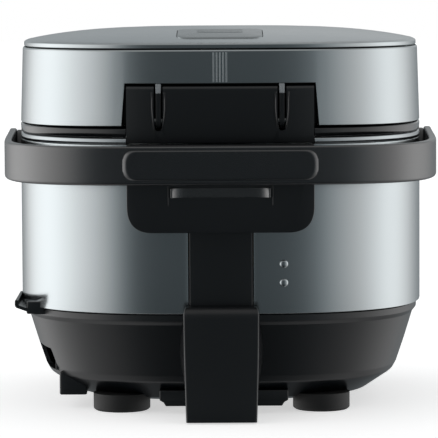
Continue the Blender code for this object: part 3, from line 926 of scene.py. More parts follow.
    def _inlet(self) -> None:
        """Mould the recessed power inlet and its two pins."""
        outline = oblong(36.5, 24.4, 73.5, 39.6, 1.0, 3)
        socket = slab("inlet_moulding", outline, "X", 92.5, 108.6, 0.4)
        combine(socket, slab("mouth", oblong(38.5, 26.2, 71.5, 37.8, 3.0), "X", 97.0, 112.0))
        dress(socket, SATIN_BLACK, "cooker", ["inlet_socket"])
        for side, y in (("left", 49.0), ("right", 61.0)):
            pin = bar(f"inlet_contact_{side}", (97.2, y, 32), (105.5, y, 32), 2.0, 0.7, 32)
            dress(pin, BRASS_PIN, "cooker", [f"inlet_pin_{side}"])

    def _tray(self) -> None:
        """Mould the scoop tray: a shelf that follows the body, with an upturned lip and an end stop."""
        sections = []
        for y in [32 + 58 * step / 14 for step in range(15)]:
            inner = max(109.0, plan_depth(y, self._half_at(62.0)) - 0.6)
            outline = [(inner, 63.0), (121.0, 63.0), (134.0, 67.6), (134.0, 72.4), (131.9, 72.4),
                       (131.9, 69.0), (120.6, 65.2), (inner, 65.2)]
            rounded = fillet(outline, [0.2, 3.0, 2.6, 1.0, 1.0, 1.6, 2.4, 0.2], 4)
            sections.append([(x, y, z) for x, z in rounded])
        tray = stack("scoop_tray", sections)
        combine(tray, brick("stop", (114.5, 84.0, 63.1), (126.5, 90.0, 71.4), 1.2), "UNION")
        dress(tray, SATIN_BLACK, "cooker", ["scoop_holder"])


# ------------------------------------------------------------------------------------ lid


@dataclass
class Lid:
    """The hinged lid: crowned plate, metal band, moulded inside, inner lid, arms and strike.

    Attributes:
        low: Lower edge of the band.
        high: Upper edge of the band.
        half_low: Half width at the lower edge.
        half_high: Half width at the upper edge.
        notch_low: Half width of the hinge notch at the bottom.
        notch_high: Half width of the hinge notch at the top.
        notch_top: Height of the notch.
        rim: Half width of the plate where its crown starts.
        rim_z: Height there.
        rise: Height of the crown above the rim.
        crown_power: How flat the crown's middle is.
        cap: Steam cap opening as left, right, front and rear.
    """

    low: float = 186.3
    high: float = 235.2
    half_low: float = 132.9
    half_high: float = 131.4
    notch_low: float = 62.5
    notch_high: float = 61.1
    notch_top: float = 214.0
    rim: float = 129.4
    rim_z: float = 239.3
    rise: float = 7.8
    crown_power: float = 3.5
    cap: tuple[float, float, float, float] = (-27.5, 27.5, 62.0, 115.0)

    def build(self) -> None:
        """Build and dress every piece of the lid."""
        self._band()
        self._lines()
        self._plate()
        self._steam_cap()
        self._inside()
        self._arms()

    def crown(self, half: float, lift: float = 0.0) -> float:
        """Return the crown's height at a half width, raised by a lift."""
        return self.rim_z + lift + self.rise * (1.0 - min(1.0, half / self.rim) ** self.crown_power)

    def _band(self) -> None:
        """Draw the band column by column, so that the hinge notch has clean edges."""
        edges = [math.atan2(plan_depth(x, 132.0), x) for x in (self.notch_low, self.notch_high - 0.4)]
        extra = [edges[0], edges[1], math.pi - edges[1], math.pi - edges[0]]
        plain = [angle for angle in around(FINE) if all(abs(angle - other) > 0.012 for other in extra)]
        columns = []
        for angle in sorted(plain + extra):
            in_notch = edges[1] - 1e-6 <= angle <= math.pi - edges[1] + 1e-6
            rear = max(0.0, math.sin(angle)) ** 6
            bottom = self.notch_top if in_notch else self.low + 1.4 * rear
            lean = (self.half_high - self.half_low) / (self.high - self.low)
            outer = self.half_low + lean * (bottom - self.low)
            section = fillet([(outer, bottom), (self.half_high, self.high - 0.9),
                              (self.half_high - 0.6, self.high), (self.half_high - 1.5, self.high),
                              (outer - 1.5, bottom)], [0.45, 0.8, 0.4, 0.3, 0.3], 3)
            columns.append([(*plan_point(angle, half, half), height) for half, height in section])
        band = skin("lid_band_drawn", columns)
        dress(band, LID_STEEL, "lid", ["lid_band"])

    def _lines(self) -> None:
        """Raise five fine vertical lines at the middle of the band's back."""
        lean = (self.half_high - self.half_low) / (self.high - self.low)
        for number in range(5):
            x = (number - 2) * 2.05
            sections = []
            for height in (self.notch_top + 0.4, self.notch_top + 1.0, self.high - 1.8, self.high - 1.2):
                half = self.half_low + lean * (height - self.low)
                proud = 0.26 if self.notch_top + 0.8 < height < self.high - 1.5 else 0.05
                back = plan_depth(x, half) - 0.12
                sections.append([(x + 0.46 * math.cos(turn), back + proud * math.sin(turn), height)
                                 for turn in around(12)])
            dress(stack(f"band_line_{number + 1}", sections), LID_STEEL, "lid")

    def _plate(self) -> None:
        """Press the plate: a crowned skin with a rolled rim and a hole for the steam cap."""
        steps = [0.0004, 0.15, 0.3, 0.45, 0.58, 0.68, 0.76, 0.83, 0.88, 0.93, 0.97]
        top = [(self.rim * step, self.crown(self.rim * step)) for step in steps]
        under = [(half, height - 2.0) for half, height in reversed(top[:-1])]
        rim = fillet([
            (129.3, self.rim_z + 0.05), (130.4, 238.6), (130.5, 236.1), (128.2, 235.8), (127.6, 235.9),
            (124.0, 235.9), (122.4, 236.4),
        ], [0.5, 0.9, 0.6, 0.3, 0.3, 0.3, 0.5], 4)
        plate = hoop("lid_plate_pressed", [*top, *rim, *under])
        left, right, front, rear = self.cap
        grow = 0.3
        outline = oblong(left - grow, front - grow, right + grow, rear + grow, 9.5, 8)
        combine(plate, slab("cap_hole", outline, "Z", 228, 256))
        dress(plate, LID_STEEL, "lid", ["lid_plate"])

    def _steam_cap(self) -> None:
        """Mould the lift-out steam cap, domed with the lid and slotted for steam."""
        left, right, front, rear = self.cap
        outline = oblong(left, front, right, rear, 9.0, 8)
        centre_y = (front + rear) / 2
        rings = []
        for share, drop in ((1.0, None), (1.0, 1.25), (0.992, 0.75), (0.97, 0.4), (0.9, 0.3),
                            (0.8, 0.25), (0.55, 0.0), (0.3, 0.0), (0.05, 0.0)):
            ring = []
            for x, y in outline:
                place = (x * share, centre_y + (y - centre_y) * share)
                half = (abs(place[0]) ** PLAN_POWER + abs(place[1]) ** PLAN_POWER) ** (1 / PLAN_POWER)
                height = 236.9 if drop is None else self.crown(half, 1.0) - drop
                ring.append((*place, height))
            rings.append(ring)
        cap = stack("steam_cap_moulding", rings)
        for number in range(3):
            y = centre_y - 8 + 8 * number
            slot = oblong(-15, y - 0.9, 15, y + 0.9, 0.85)
            combine(cap, slab("steam_slot", slot, "Z", 241.5, 256))
        dress(cap, GREY_LACQUER, "steam_cap", ["steam_cap"])

    def _inside(self) -> None:
        """Build the moulded frame, duct, inner lid and gasket that show when the lid is open."""
        section = fillet([
            (0.5, 181.7), (98.0, 181.7), (99.5, 183.0), (99.5, 187.2), (127.6, 187.2), (129.3, 188.8),
            (129.3, 232.0), (127.0, 232.0), (127.0, 190.0), (97.5, 189.8), (97.0, 184.5), (0.5, 184.5),
        ], [0.0, 0.8, 0.8, 1.2, 1.0, 1.0, 0.6, 0.6, 1.0, 1.0, 0.5, 0.0], 3)
        frame = hoop("lid_inside_moulding", section, squaring(101.0, 20.0))
        pocket = brick("pocket", (-65, 99.4, 187.6), (65, 135, 216.5), 0.0)
        limit = hoop("pocket_limit", [(0.5, 180), (128.2, 180), (128.2, 225), (0.5, 225)])
        combine(pocket, limit, "INTERSECT")
        combine(frame, pocket, "UNION")
        notch = [(-self.notch_low, 170), (self.notch_low, 170), (self.notch_high, self.notch_top),
                 (-self.notch_high, self.notch_top)]
        combine(frame, slab("notch", notch, "Y", 102.8, 145))
        combine(frame, bar("vent", (0, 80, 176), (0, 80, 188), 12.5))
        dress(frame, SATIN_BLACK, "lid", ["lid_frame"])

        duct = oblong(10, 182, 12.2, 236.4, 0.5, 3)
        dress(turned("steam_duct_tube", duct, (0, 80), 64), GASKET_SILICONE, "lid", ["steam_duct"])

        plate = fillet([
            (0.5, 180.2), (30, 180.2), (88, 179.9), (96.5, 179.9), (98.5, 180.5), (98.5, 181.4),
            (0.5, 181.4),
        ], [0, 8, 6, 0.8, 0.4, 0.4, 0], 4)
        inner = turned("inner_lid_pressed", plate)
        for ring, count in ((14.0, 6), (70.0, 18)):
            for turn in around(count):
                x, y = ring * math.cos(turn), ring * math.sin(turn)
                combine(inner, bar("hole", (x, y, 178), (x, y, 183), 2.2, count=24))
        dress(inner, ALUMINIUM, "lid", ["inner_lid"])
        seal = fillet([(92, 178.5), (98.2, 178.4), (99.2, 179.0), (98.4, 179.7), (92, 179.7)], 0.5, 3)
        dress(turned("pot_seal", seal), GASKET_SILICONE, "lid", ["lid_gasket"])

    def _arms(self) -> None:
        """Cut the two hinge arms and the strike from plate, with eased edges."""
        for side, x in (("left", 39.2), ("right", -39.2)):
            outline = fillet([(122, 185.6), (131.6, 185.6), (132.4, 190), (132.4, 213.7), (122, 213.7)],
                             [4.0, 4.0, 2.0, 0.8, 0.8], 5)
            arm = slab(f"hinge_arm_{side}_plate", outline, "X", x - 1.65, x + 1.65, 0.4)
            combine(arm, bar("bore", (x - 6, 128, 190), (x + 6, 128, 190), 2.3, count=32))
            dress(arm, SATIN_BLACK, "lid", [f"hinge_arm_{side}"])
            cheek = brick(f"hinge_arm_{side}_cheek", (x - 1.7, 126, 207.8), (x + 1.7, 132.8, 213.9),
                          0.4)
            dress(cheek, GREY_ACETAL, "lid")
        hook = fillet([(-121, 172.5), (-115.2, 172.5), (-115.2, 174.2), (-118, 176.2), (-118, 186.9),
                       (-121, 186.9)], [1.2, 0.8, 0.6, 0.8, 0.3, 0.3], 4)
        dress(slab("strike_hook", hook, "X", -8, 8, 0.4), ZINC_STEEL, "lid", ["lid_strike"])


# ------------------------------------------------------------------------------------ at the back


@dataclass
class Hinge:
    """The fixed hinge cover at the back and the parts inside it.

    Attributes:
        half: Half width of the cover.
        axis: The hinge axis as y and z.
        plan_half: Half width of the plan that the cover's back follows.
        low: Lower edge of the cover.
        high: Top of the cover.
        slot_x: Place of the two arm slots across.
        slot_half: Half width of a slot.
        slot_low: Bottom of a slot.
    """

    half: float = 59.6
    axis: Point2 = (128.0, 190.0)
    plan_half: float = 134.2
    low: float = 176.2
    high: float = 212.8
    slot_x: float = 39.2
    slot_half: float = 2.85
    slot_low: float = 184.0

    def build(self) -> None:
        """Build the cover and dress the hidden hinge parts."""
        cover = self._shell()
        for side in (-1.0, 1.0):
            self._cut_slot(cover, side * self.slot_x)
        dress(cover, SATIN_BLACK, "cooker", ["hinge_cover"])
        for name, finish in (("hinge_bracket", ZINC_STEEL), ("hinge_shaft", ZINC_STEEL),
                             ("hinge_spring_left", SPRING_WIRE), ("hinge_spring_right", SPRING_WIRE)):
            keep(name, finish)

    def _section(self, x: float, inset: float) -> list[Point2]:
        """Outline the cover at one place across.

        Args:
            x: The place.
            inset: How far the outline is drawn in; 0 is the outside.

        Returns:
            The closed outline in Y and Z.
        """
        rear = plan_depth(x, self.plan_half) - inset
        radius = 23.7 - inset
        sweep = [
            (self.axis[0] + radius * math.cos(math.radians(turn)),
             self.axis[1] + radius * math.sin(math.radians(turn))) for turn in (107, 118, 130, 142, 155)
        ]
        front = 106.0 + inset
        low = self.low if inset == 0.0 else self.low - 6.0
        corners = [(front, low), (rear, low), (rear, self.high - 0.4 - inset),
                   *sweep, (front, 198.0 - inset)]
        radii = [0.3, 0.5, 3.0] + [0.0] * len(sweep) + [0.0]
        return fillet(corners, radii, 5)

    def _shell(self) -> bpy.types.Object:
        """Sweep the cover across and hollow it out.

        Returns:
            The hollow cover.
        """
        xs = [-self.half, -self.half + 0.25, -self.half + 0.9]
        xs += [-58 + 116 * step / 28 for step in range(29)]
        xs += [self.half - 0.9, self.half - 0.25, self.half]
        cover = stack("hinge_cover_moulding",
                      [[(x, y, z) for y, z in self._section(x, 0.0)] for x in xs])
        inner_xs = [-57.6 + 115.2 * step / 20 for step in range(21)]
        cavity = stack("cavity", [[(x, y, z) for y, z in self._section(x, 1.6)] for x in inner_xs])
        return combine(cover, cavity)

    def _cut_slot(self, cover: bpy.types.Object, x: float) -> None:
        """Cut one arm slot with a rounded, narrowing foot and raise a lip on each side of it.

        Args:
            cover: The cover that is cut.
            x: The slot's place across.
        """
        low, wide = self.slot_low, self.slot_half
        outline = fillet([(x - wide * 0.72, low), (x + wide * 0.72, low), (x + wide, low + 9),
                          (x + wide, 222), (x - wide, 222), (x - wide, low + 9)],
                         [2.0, 2.0, 6.0, 0.1, 0.1, 6.0], 6)
        for side in (-1.0, 1.0):
            sections = []
            for height, proud, step in (
                (low + 0.5, 0.05, -0.5), (low + 4, 0.6, 0.2), (low + 9, 1.1, 0.8), (low + 14, 1.3, 1.2),
                (self.high - 9, 1.3, 1.2), (self.high - 6, 0.8, 1.2), (self.high - 4, 0.05, 1.2),
            ):
                middle = x + side * (wide + step)
                back = plan_depth(middle, self.plan_half) - 0.4
                sections.append([
                    (middle + 0.75 * math.cos(turn), back + (0.4 + proud) * math.sin(turn), height)
                    for turn in around(12)
                ])
            combine(cover, stack("lip", sections), "UNION")
        combine(cover, slab("slot", outline, "Y", 100, 142))


@dataclass
class Handle:
    """The fold-down carrying handle with its grip pad and pivots.

    Attributes:
        inner_x: Inside half width of the ring.
        inner_y: Inside reach of the ring behind the pivots.
        thick: Radial thickness of the ring.
        low: Lower edge of the ring.
        high: Upper edge of the ring.
        pivot_z: Height of the pivots.
        boss: Radius of the bosses.
        grip_half: Half width of the grip pad.
        grip_low: Lower edge of the grip pad.
        grip_high: Upper edge of the grip pad.
        power: Squareness of the ring's plan.
        pin_radius: Radius of the pivot pins.
        cap_radius: Radius of the caps on the pins.
        hub_radius: Radius of the spacers between the body and the ring.
        hub_bore: Radius of the spacers' holes.
    """

    inner_x: float = 137.0
    inner_y: float = 153.0
    thick: float = 5.0
    low: float = 151.0
    high: float = 175.7
    pivot_z: float = HANDLE_AXIS_Z
    boss: float = 16.0
    grip_half: float = 61.5
    grip_low: float = 154.0
    grip_high: float = 173.4
    power: float = 4.3
    pin_radius: float = 5.9
    cap_radius: float = 11.8
    hub_radius: float = 15.0
    hub_bore: float = 6.1

    def build(self) -> None:
        """Build the ring, its bosses, its grip and its pins."""
        section = oblong(0.0, self.low, self.thick, self.high, [1.6, 2.4, 1.8, 1.4], 5)
        columns = []
        for angle in around(150, 0.0, math.pi, open_end=False):
            near = max(0.0, 1.0 - self._point(angle, 0.0)[1] / 78.0) ** 1.6
            spread = 1.0 + near * (self.boss / (self.high - self.pivot_z) - 1.0)
            columns.append([
                (*self._point(angle, offset), self.pivot_z + (height - self.pivot_z) * spread)
                for offset, height in section
            ])
        ring = skin("handle_ring", columns, wrap=False)
        for side in (-1.0, 1.0):
            start, end = side * self.inner_x, side * (self.inner_x + self.thick)
            boss = bar("boss", (start, 0, self.pivot_z), (end, 0, self.pivot_z), self.boss, 1.6, 72)
            combine(ring, boss, "UNION")
        combine(ring, bar("bore", (-160, 0, self.pivot_z), (160, 0, self.pivot_z), 6.3))
        dress(ring, HANDLE_NYLON, "handle", ["handle_bail"])
        self._grip()
        for name, side in (("left", 1.0), ("right", -1.0)):
            self._pin(name, side)

    def _point(self, angle: float, offset: float) -> Point2:
        """Return a point of the ring's plan, moved outwards by an offset."""
        return plan_point(angle, self.inner_x + offset, self.inner_y + offset, self.power)

    def _grip(self) -> None:
        """Mould the raised pad on the ring's back: a pill-ended panel with softly rounded rims."""
        half, low, high = self.grip_half, self.grip_low, self.grip_high
        outline = oblong(-half, low, half, high, 8.0, 9)
        middle = (low + high) / 2
        rings = []
        for offset, across, upright in ((5.3, 0.0, 0.0), (5.5, 0.05, 0.05), (6.1, 0.75, 0.3),
                                        (6.7, 1.5, 0.6), (6.94, 2.1, 1.0), (7.0, 3.0, 1.6)):
            ring = []
            for x, z in outline:
                px = x - math.copysign(across, x)
                pz = z - math.copysign(upright, z - middle)
                bend = (1 - abs(px / (self.inner_x + offset)) ** self.power) ** (1 / self.power)
                ring.append((px, (self.inner_y + offset) * bend, pz))
            rings.append(ring)
        pad = stack("grip_overmould", rings)
        dress(pad, GRIP_RUBBER, "handle", ["grip_pad"])

    def _pin(self, name: str, side: float) -> None:
        """Make a pivot pin with a domed black cap that covers the boss's bore, and its spacer.

        Args:
            name: "left" or "right".
            side: 1 for the left, which is +X, and -1 for the right.
        """
        def across(kind: str, inner: float, outer: float, radius: float, edge: float = 0.0,
                   count: int = 48) -> bpy.types.Object:
            """Make a bar on the pivots' axis between two distances from the middle."""
            return bar(kind, (side * inner, 0, self.pivot_z), (side * outer, 0, self.pivot_z), radius,
                       edge, count)

        pin = across(f"handle_pivot_{name}", 120, 142.6, self.pin_radius)
        combine(pin, across("head", 142.25, 143.55, self.cap_radius, 0.7, 72), "UNION")
        dress(pin, HANDLE_NYLON, "cooker", [f"handle_pin_{name}"])
        hub = across(f"pivot_hub_{name}", 131.5, 136.7, self.hub_radius, 0.6, 72)
        combine(hub, across("bore", 130, 138, self.hub_bore))
        dress(hub, SATIN_BLACK, "cooker")


@dataclass
class DewCollector:
    """The clip-on cup behind the handle that catches condensed water.

    Attributes:
        half: Half width.
        low: Bottom.
        high: Open top.
        front: Front face, next to the bracket.
        rear: Rear face.
        wall: Wall thickness.
        corner: Radius of the bottom corners.
        lip_half: Half width of the finger lip.
    """

    half: float = 59.2
    low: float = 120.4
    high: float = 175.8
    front: float = 135.1
    rear: float = 149.0
    wall: float = 2.0
    corner: float = 13.2
    lip_half: float = 30.5

    def build(self) -> None:
        """Build the cup with its finger lip, and dress its bracket."""
        cup = self._shape("dew_cup_moulding", 0.0, self.high)
        round_edges(cup, 0.9, 60.0)
        hollow = self._shape("hollow", self.wall, self.high + 30)
        combine(cup, hollow)
        for side in (-1.0, 1.0):
            x = side * (self.lip_half + 2.4)
            rib = brick("rib", (x - 0.35, self.rear - 0.8, 137.8), (x + 0.35, self.rear + 0.55, 151.5),
                        0.25)
            combine(cup, rib, "UNION")
        dress(cup, SATIN_BLACK, "collector", ["dew_collector"])
        dress(self._lip(), SMOOTH_BLACK, "collector")
        keep("collector_bracket", SATIN_BLACK)

    def _shape(self, name: str, inset: float, high: float) -> bpy.types.Object:
        """Extrude the cup's outline.

        Args:
            name: The object's name.
            inset: How far every face but the top is drawn in.
            high: Top of the solid.

        Returns:
            The solid.
        """
        half, low = self.half - inset, self.low + inset
        radius = max(0.5, self.corner * 1.25 - inset)
        outline = oblong(-half, low, half, high, [radius, radius, 0.6, 0.6], 12)
        return slab(name, outline, "Y", self.front + inset, self.rear - inset)

    def _lip(self) -> bpy.types.Object:
        """Shape the finger lip, whose back is straight with tight curves at both ends.

        Returns:
            The lip.
        """
        curve, reach, deep = 11.0, self.lip_half, 3.3
        face: list[Point2] = []
        for step in range(41):
            x = -reach + 2 * reach * step / 40
            share = max(0.0, (abs(x) - (reach - curve)) / curve)
            face.append((x, self.rear + 0.25 + deep * (1 - math.sqrt(max(0.0, 1 - share ** 2)))))
        outline = [*face, (reach + 0.9, self.rear + 0.25 + deep), (reach + 1.3, self.rear - 1.0),
                   (-reach - 1.3, self.rear - 1.0), (-reach - 0.9, self.rear + 0.25 + deep)]
        return slab("finger_lip", outline, "Z", 142.7, 149.0, 0.3)


# ------------------------------------------------------------------------------------ front and inside


@dataclass
class Front:
    """The control fascia with its window, keys, open button and latch.

    Attributes:
        front: Front face of the fascia.
        low: Bottom of the fascia.
        high: Top of the fascia.
        side: Half width of the fascia.
        wall: Wall thickness.
        key_xs: Places of the keys across.
        key_z: Height of the keys.
    """

    front: float = -157.2
    low: float = 86.0
    high: float = 172.0
    side: float = 66.0
    wall: float = 2.5
    key_xs: tuple[float, ...] = (-36.0, -12.0, 12.0, 36.0)
    key_z: float = 104.0

    def build(self) -> None:
        """Build and dress every piece of the front."""
        self._fascia()
        self._window()
        self._keys()
        self._button()

    def _outline(self, inset: float, back: float) -> list[Point2]:
        """Outline the fascia's plan with rounded front corners.

        Args:
            inset: How far the outline is drawn in; 0 is the outside.
            back: Where its sides end.

        Returns:
            The outline.
        """
        side, front = self.side - inset, self.front + inset
        return fillet([(side, back), (side, front), (-side, front), (-side, back)],
                      [0.4, 17.0 - inset, 17.0 - inset, 0.4], 12)

    def _fascia(self) -> None:
        """Mould the fascia and fit its back to the sleeve."""
        fascia = slab("control_fascia", self._outline(0.0, -118), "Z", self.low, self.high, 1.6)
        combine(fascia, slab("hollow", self._outline(self.wall, -110), "Z", self.low + self.wall,
                             self.high - self.wall))
        body = hoop("sleeve_space", [(1.0, 60), (133.6, 60), (133.6, 183), (1.0, 183)])
        combine(fascia, body)
        recess = oblong(-30.4, 121.6, 30.4, 150.4, 2.2, 5)
        combine(fascia, slab("recess", recess, "Y", self.front - 5, self.front + 1.7))
        for x in self.key_xs:
            hole = oblong(x - 8.9, self.key_z - 5.4, x + 8.9, self.key_z + 5.4, 2.4, 5)
            combine(fascia, slab("hole", hole, "Y", self.front - 5, self.front + 4))
        hole = oblong(-16.4, 157.6, 16.4, 167.4, 2.4, 5)
        combine(fascia, slab("hole", hole, "Y", self.front - 5, self.front + 4))
        dress(fascia, GLOSS_BLACK, "cooker", ["front_fascia"])

    def _window(self) -> None:
        """Make the display window with generic segment figures on its face."""
        outline = oblong(-30, 122, 30, 150, 2.0, 5)
        window = slab("display_lens", outline, "Y", self.front - 0.2, self.front + 1.4, 0.3)
        dress(window, DISPLAY_GLASS, "cooker", ["display_window"])
        behind, ahead = self.front - 0.32, self.front - 0.21
        for index, x in enumerate((-15.0, -6.5, 6.5, 15.0)):
            for level in (130.0, 136.0, 142.0):
                if not (index == 0 and level == 136.0):
                    dress(brick(f"figure_{index + 1}_{int(level)}", (x - 2.2, behind, level - 0.5),
                                (x + 2.2, ahead, level + 0.5), 0.0), PRINTED_GREY, "cooker")
            for end, side in ((-2.7, "left"), (2.7, "right")):
                dress(brick(f"figure_{index + 1}_side_{side}", (x + end - 0.5, behind, 130.6),
                            (x + end + 0.5, ahead, 141.4), 0.0), PRINTED_GREY, "cooker")

    def _keys(self) -> None:
        """Mould the four keys, each with one raised generic mark."""
        for number, x in enumerate(self.key_xs, start=1):
            outline = oblong(x - 8.5, self.key_z - 5, x + 8.5, self.key_z + 5, 2.2, 5)
            key = slab(f"key_cap_{number}", outline, "Y", self.front - 1.1, self.front + 6, 0.5)
            mark = turned("mark", [(1.1, 0), (1.8, 0), (1.8, 0.35), (1.1, 0.35)], count=32)
            place = Matrix.Translation(Vector((x, self.front - 0.95, self.key_z)) * MM)
            mark.data.transform(place @ Matrix.Rotation(math.pi / 2, 4, "X"))
            combine(key, mark, "UNION")
            dress(key, GREY_ACETAL, f"key_{number}_body", [f"key_{number}"])

    def _button(self) -> None:
        """Mould the open button with its stem, and the latch that it pushes."""
        outline = oblong(-16, 158, 16, 167, 2.2, 5)
        button = slab("open_button_cap", outline, "Y", self.front - 2.8, self.front + 7, 0.8)
        combine(button, brick("stem", (-5, self.front + 6.5, 161.5), (5, -134.5, 166.5), 0.4), "UNION")
        dress(button, GREY_ACETAL, "button", ["open_button"])
        latch = fillet([(-134.2, 164), (-110.5, 164), (-110.5, 179), (-116.2, 179), (-116.2, 176.6),
                        (-113.5, 176.6), (-113.5, 167), (-134.2, 167)], 0.6, 3)
        dress(slab("latch_plate", latch, "X", -7, 7, 0.3), ZINC_STEEL, "latch", ["lid_latch"])
        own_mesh(keep("latch_spring", SPRING_WIRE))
        keep("control_board", CIRCUIT_BOARD)


@dataclass
class Inside:
    """The pot, its case and the heating parts, which show when the lid is open.

    Attributes:
        pot_low: Underside of the pot.
        pot_high: Rim of the pot.
    """

    pot_low: float = 48.6
    pot_high: float = 178.2

    def build(self) -> None:
        """Build the pot and dress the other inner parts."""
        self._pot()
        case = fillet([(22, 38), (88, 38), (98, 42), (103.5, 52), (103.5, 179.3), (102.2, 179.3),
                       (102.2, 52.6), (97.2, 43), (87.6, 39.3), (22, 39.3)],
                      [0.3, 8, 8, 10, 0.4, 0.4, 10, 8, 8, 0.3], 4)
        dress(turned("inner_case_pressed", case), ALUMINIUM, "cooker", ["inner_case"])
        plate = fillet([(19.5, 41), (80, 41), (80, 45.5), (76, 48.2), (19.5, 48.2)],
                       [0.4, 0.8, 1.5, 4, 0.6], 4)
        dress(turned("heating_plate_cast", plate), ALUMINIUM, "cooker", ["heating_plate"])
        cup = fillet([
            (12, 40), (17, 40), (17.5, 41), (17.5, 46.8), (16.2, 48.2), (5, 48.2), (5, 47), (15.8, 47),
            (15.8, 40.6), (12, 40.6),
        ], [0.1, 0.4, 0.4, 0.8, 0.8, 0.3, 0.3, 0.6, 0.2, 0.1], 4)
        dress(turned("sensor_cap", cup, count=64), ALUMINIUM, "sensor", ["sensor_cup"])
        heater = oblong(104, 95, 106, 125, 0.6, 3)
        dress(turned("side_heater_tape", heater), HEATER_TAPE, "cooker", ["side_heater"])
        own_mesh(keep("sensor_spring", SPRING_WIRE))
        for name, finish in (("power_board", CIRCUIT_BOARD), ("relay", SATIN_BLACK),
                             ("thermal_fuse", ALUMINIUM)):
            keep(name, finish)

    def _pot(self) -> None:
        """Draw the pot with a rounded floor, a rolled rim and raised level marks."""
        outer = [
            (0.5, self.pot_low), (74, self.pot_low), (90, 51.2), (97, 64), (97, 175.6), (101, 176.6),
            (101, self.pot_high), (96.4, self.pot_high), (94.6, 176.0), (94.6, 65), (88, 54.0),
            (72, 51.2), (0.5, 51.2),
        ]
        radii = [0, 12, 12, 16, 1.5, 0.5, 0.7, 0.9, 2.0, 16, 12, 12, 0]
        pot = turned("cooking_pot", fillet(outer, radii, 6))
        dress(pot, POT_COATING, "cooker", ["inner_pot"])
        for level in range(1, 6):
            height = 66 + 15 * level
            end = 266 if level % 2 else 272
            section = ((94.75, height - 0.5), (94.75, height + 0.5), (94.3, height + 0.4),
                       (94.3, height - 0.4))
            mark = skin(f"level_mark_{level}", [
                [(radius * math.cos(turn), radius * math.sin(turn), z) for radius, z in section]
                for turn in around(10, math.radians(258), math.radians(end), open_end=False)
            ], wrap=False)
            dress(mark, PRINTED_GREY, "cooker")


# ------------------------------------------------------------------------------------ studio


# Light at and below the horizon by direction in degrees from +Y, positive towards +X.
ROOM_LOW: tuple[Point2, ...] = (
    (-180, 0.25), (-165, 0.25), (-150, 0.50), (-134, 0.92), (-112, 1.50), (-92, 1.42),
    (-75, 1.06), (-60, 0.78), (-47, 0.60), (-36, 0.42), (-28, 0.25), (-20, 0.13),
    (-8, 0.085), (8, 0.085), (20, 0.085), (28, 0.25), (36, 0.56), (47, 0.88), (60, 1.13),
    (75, 1.42), (92, 1.72), (112, 1.86), (134, 1.45), (150, 0.75), (165, 0.25), (180, 0.25),
)
# Light a little above the horizon, which the lid's top mirrors from behind the cooker.
ROOM_HIGH: tuple[Point2, ...] = tuple(
    (degrees, light if abs(degrees) < 150 else 0.49 - 0.05 * math.copysign(1.0, degrees))
    for degrees, light in ROOM_LOW
)
ROOM_PEAK = 1.9            # light that a ramp's full white stands for
OVERHEAD = 0.45            # light of the ceiling
FLOOR_GLOW = 0.55          # the table's own light
UNDER_SHARE = 0.35         # how much of the room's light comes from straight below


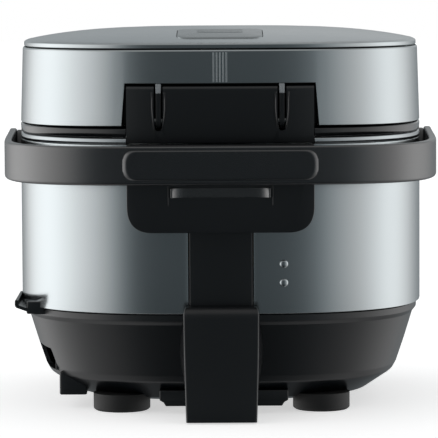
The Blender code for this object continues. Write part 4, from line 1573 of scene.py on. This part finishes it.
@dataclass
class Studio:
    """Pale floor, soft room light and the camera behind the cooker.

    Attributes:
        distance: Camera's distance from the cooker's upright axis, in metres.
        height: Camera's height above the floor, in metres.
        lens: Focal length in millimetres on a 36 mm sensor.
        tilt: How far the camera looks down, in degrees.
        pan: How far it turns aside, in degrees.
        roll: How far it leans, in degrees.
    """

    distance: float = 2.2
    height: float = 0.295
    lens: float = 268.5
    tilt: float = 4.62
    pan: float = 0.03
    roll: float = -0.3

    def build(self) -> None:
        """Build the floor, the room and the camera."""
        self._camera()
        self._floor()
        self._room()

    def _camera(self) -> None:
        """Place the camera behind the cooker, looking at its back."""
        data = bpy.data.cameras.new("camera")
        data.lens = self.lens
        data.sensor_width = 36.0
        data.clip_end = 100.0
        camera = bpy.data.objects.new("camera", data)
        bpy.context.scene.collection.objects.link(camera)
        turn = Matrix.Rotation(math.pi + math.radians(self.pan), 4, "Z")
        look = Matrix.Rotation(math.radians(90.0 - self.tilt), 4, "X")
        lean = Matrix.Rotation(math.radians(self.roll), 4, "Z")
        camera.matrix_world = Matrix.Translation((0, self.distance, self.height)) @ turn @ look @ lean
        bpy.context.scene.camera = camera

    def _floor(self) -> None:
        """Lay a large back-lit white table, which is not mirrored in the cooker's steel."""
        floor = brick("floor", (-9000, -9000, -20), (9000, 9000, 0), 0.0)
        material = bpy.data.materials.new("white_floor")
        material.use_nodes = True
        shader = material.node_tree.nodes["Principled BSDF"]
        shader.inputs["Base Color"].default_value = (0.9, 0.9, 0.9, 1.0)
        shader.inputs["Roughness"].default_value = 0.7
        shader.inputs["Emission Color"].default_value = (1.0, 1.0, 1.0, 1.0)
        shader.inputs["Emission Strength"].default_value = FLOOR_GLOW
        floor.data.materials.append(material)
        floor.visible_glossy = False

    def _room(self) -> None:
        """Light the room: dark behind the camera, soft boxes at both sides, white elsewhere.

        The light depends on the compass direction near the horizon and is even overhead, and
        what the camera sees past the cooker is plain white.
        """
        scene = bpy.context.scene
        scene.view_settings.view_transform = "Standard"
        world = bpy.data.worlds.new("studio")
        scene.world = world
        world.use_nodes = True
        tree = world.node_tree
        tree.nodes.clear()
        place = add_node(tree, "ShaderNodeTexCoord")
        parts = add_node(tree, "ShaderNodeSeparateXYZ", links={"Vector": place.outputs["Generated"]})
        turn = add_node(tree, "ShaderNodeMath", {"operation": "ARCTAN2"},
                        {0: parts.outputs["X"], 1: parts.outputs["Y"]})
        share = add_node(tree, "ShaderNodeMapRange", {"From Min": -math.pi, "From Max": math.pi},
                         {"Value": turn.outputs[0]})
        low = self._ramp(tree, share.outputs["Result"], ROOM_LOW)
        high = self._ramp(tree, share.outputs["Result"], ROOM_HIGH)
        climb = add_node(tree, "ShaderNodeMapRange", {"From Min": -0.02, "From Max": 0.1},
                         {"Value": parts.outputs["Z"]})
        room = add_node(tree, "ShaderNodeMix", {"data_type": "RGBA"},
                        {0: climb.outputs["Result"], 6: low, 7: high})
        rise = add_node(tree, "ShaderNodeMapRange", {"From Min": 0.45, "From Max": 0.85},
                        {"Value": parts.outputs["Z"]})
        overhead = add_node(tree, "ShaderNodeMix", {"data_type": "RGBA"},
                            {0: rise.outputs["Result"], 6: room.outputs[2]})
        overhead.inputs[7].default_value = (OVERHEAD / ROOM_PEAK,) * 3 + (1.0,)
        depth = add_node(tree, "ShaderNodeMapRange", {
            "From Min": -0.65, "From Max": -0.22, "To Min": UNDER_SHARE * ROOM_PEAK,
            "To Max": ROOM_PEAK,
        }, {"Value": parts.outputs["Z"]})
        glow = add_node(tree, "ShaderNodeBackground", links={
            "Color": overhead.outputs[2], "Strength": depth.outputs["Result"]})
        plain = add_node(tree, "ShaderNodeBackground", {"Color": (1.0, 1.0, 1.0, 1.0), "Strength": 1.0})
        path = add_node(tree, "ShaderNodeLightPath")
        pick = add_node(tree, "ShaderNodeMixShader", links={
            0: path.outputs["Is Camera Ray"], 1: glow.outputs["Background"],
            2: plain.outputs["Background"],
        })
        add_node(tree, "ShaderNodeOutputWorld", links={"Surface": pick.outputs["Shader"]})

    def _ramp(
        self, tree: bpy.types.NodeTree, share: bpy.types.NodeSocket, stops: Sequence[Point2]
    ) -> bpy.types.NodeSocket:
        """Add a smooth ramp of room light round the compass, cooler where it is dim.

        Args:
            tree: The world's tree.
            share: The direction as a share of the full turn.
            stops: Directions in degrees with their light.

        Returns:
            The socket of the light's colour.
        """
        ramp = add_node(tree, "ShaderNodeValToRGB", links={"Fac": share})
        ramp.color_ramp.interpolation = "B_SPLINE"
        elements = ramp.color_ramp.elements
        elements.remove(elements[1])
        elements[0].position = 0.0
        for index, (degrees, light) in enumerate(stops):
            element = elements[0] if index == 0 else elements.new((degrees + 180.0) / 360.0)
            cool = max(0.0, 1.0 - light / 0.7)
            value = light / ROOM_PEAK
            element.color = (value * (1.0 - 0.16 * cool), value, value * (1.0 + 0.08 * cool), 1.0)
        return ramp.outputs["Color"]


def main() -> None:
    """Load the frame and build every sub-assembly in order."""
    logging.basicConfig(level=logging.INFO, format="%(name)s: %(message)s")
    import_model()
    Studio().build()
    for assembly in (Body(), Base(), Lid(), Hinge(), Handle(), DewCollector(), Front(), Inside()):
        LOG.info("building %s", type(assembly).__name__)
        assembly.build()


if __name__ == "__main__":
    main()
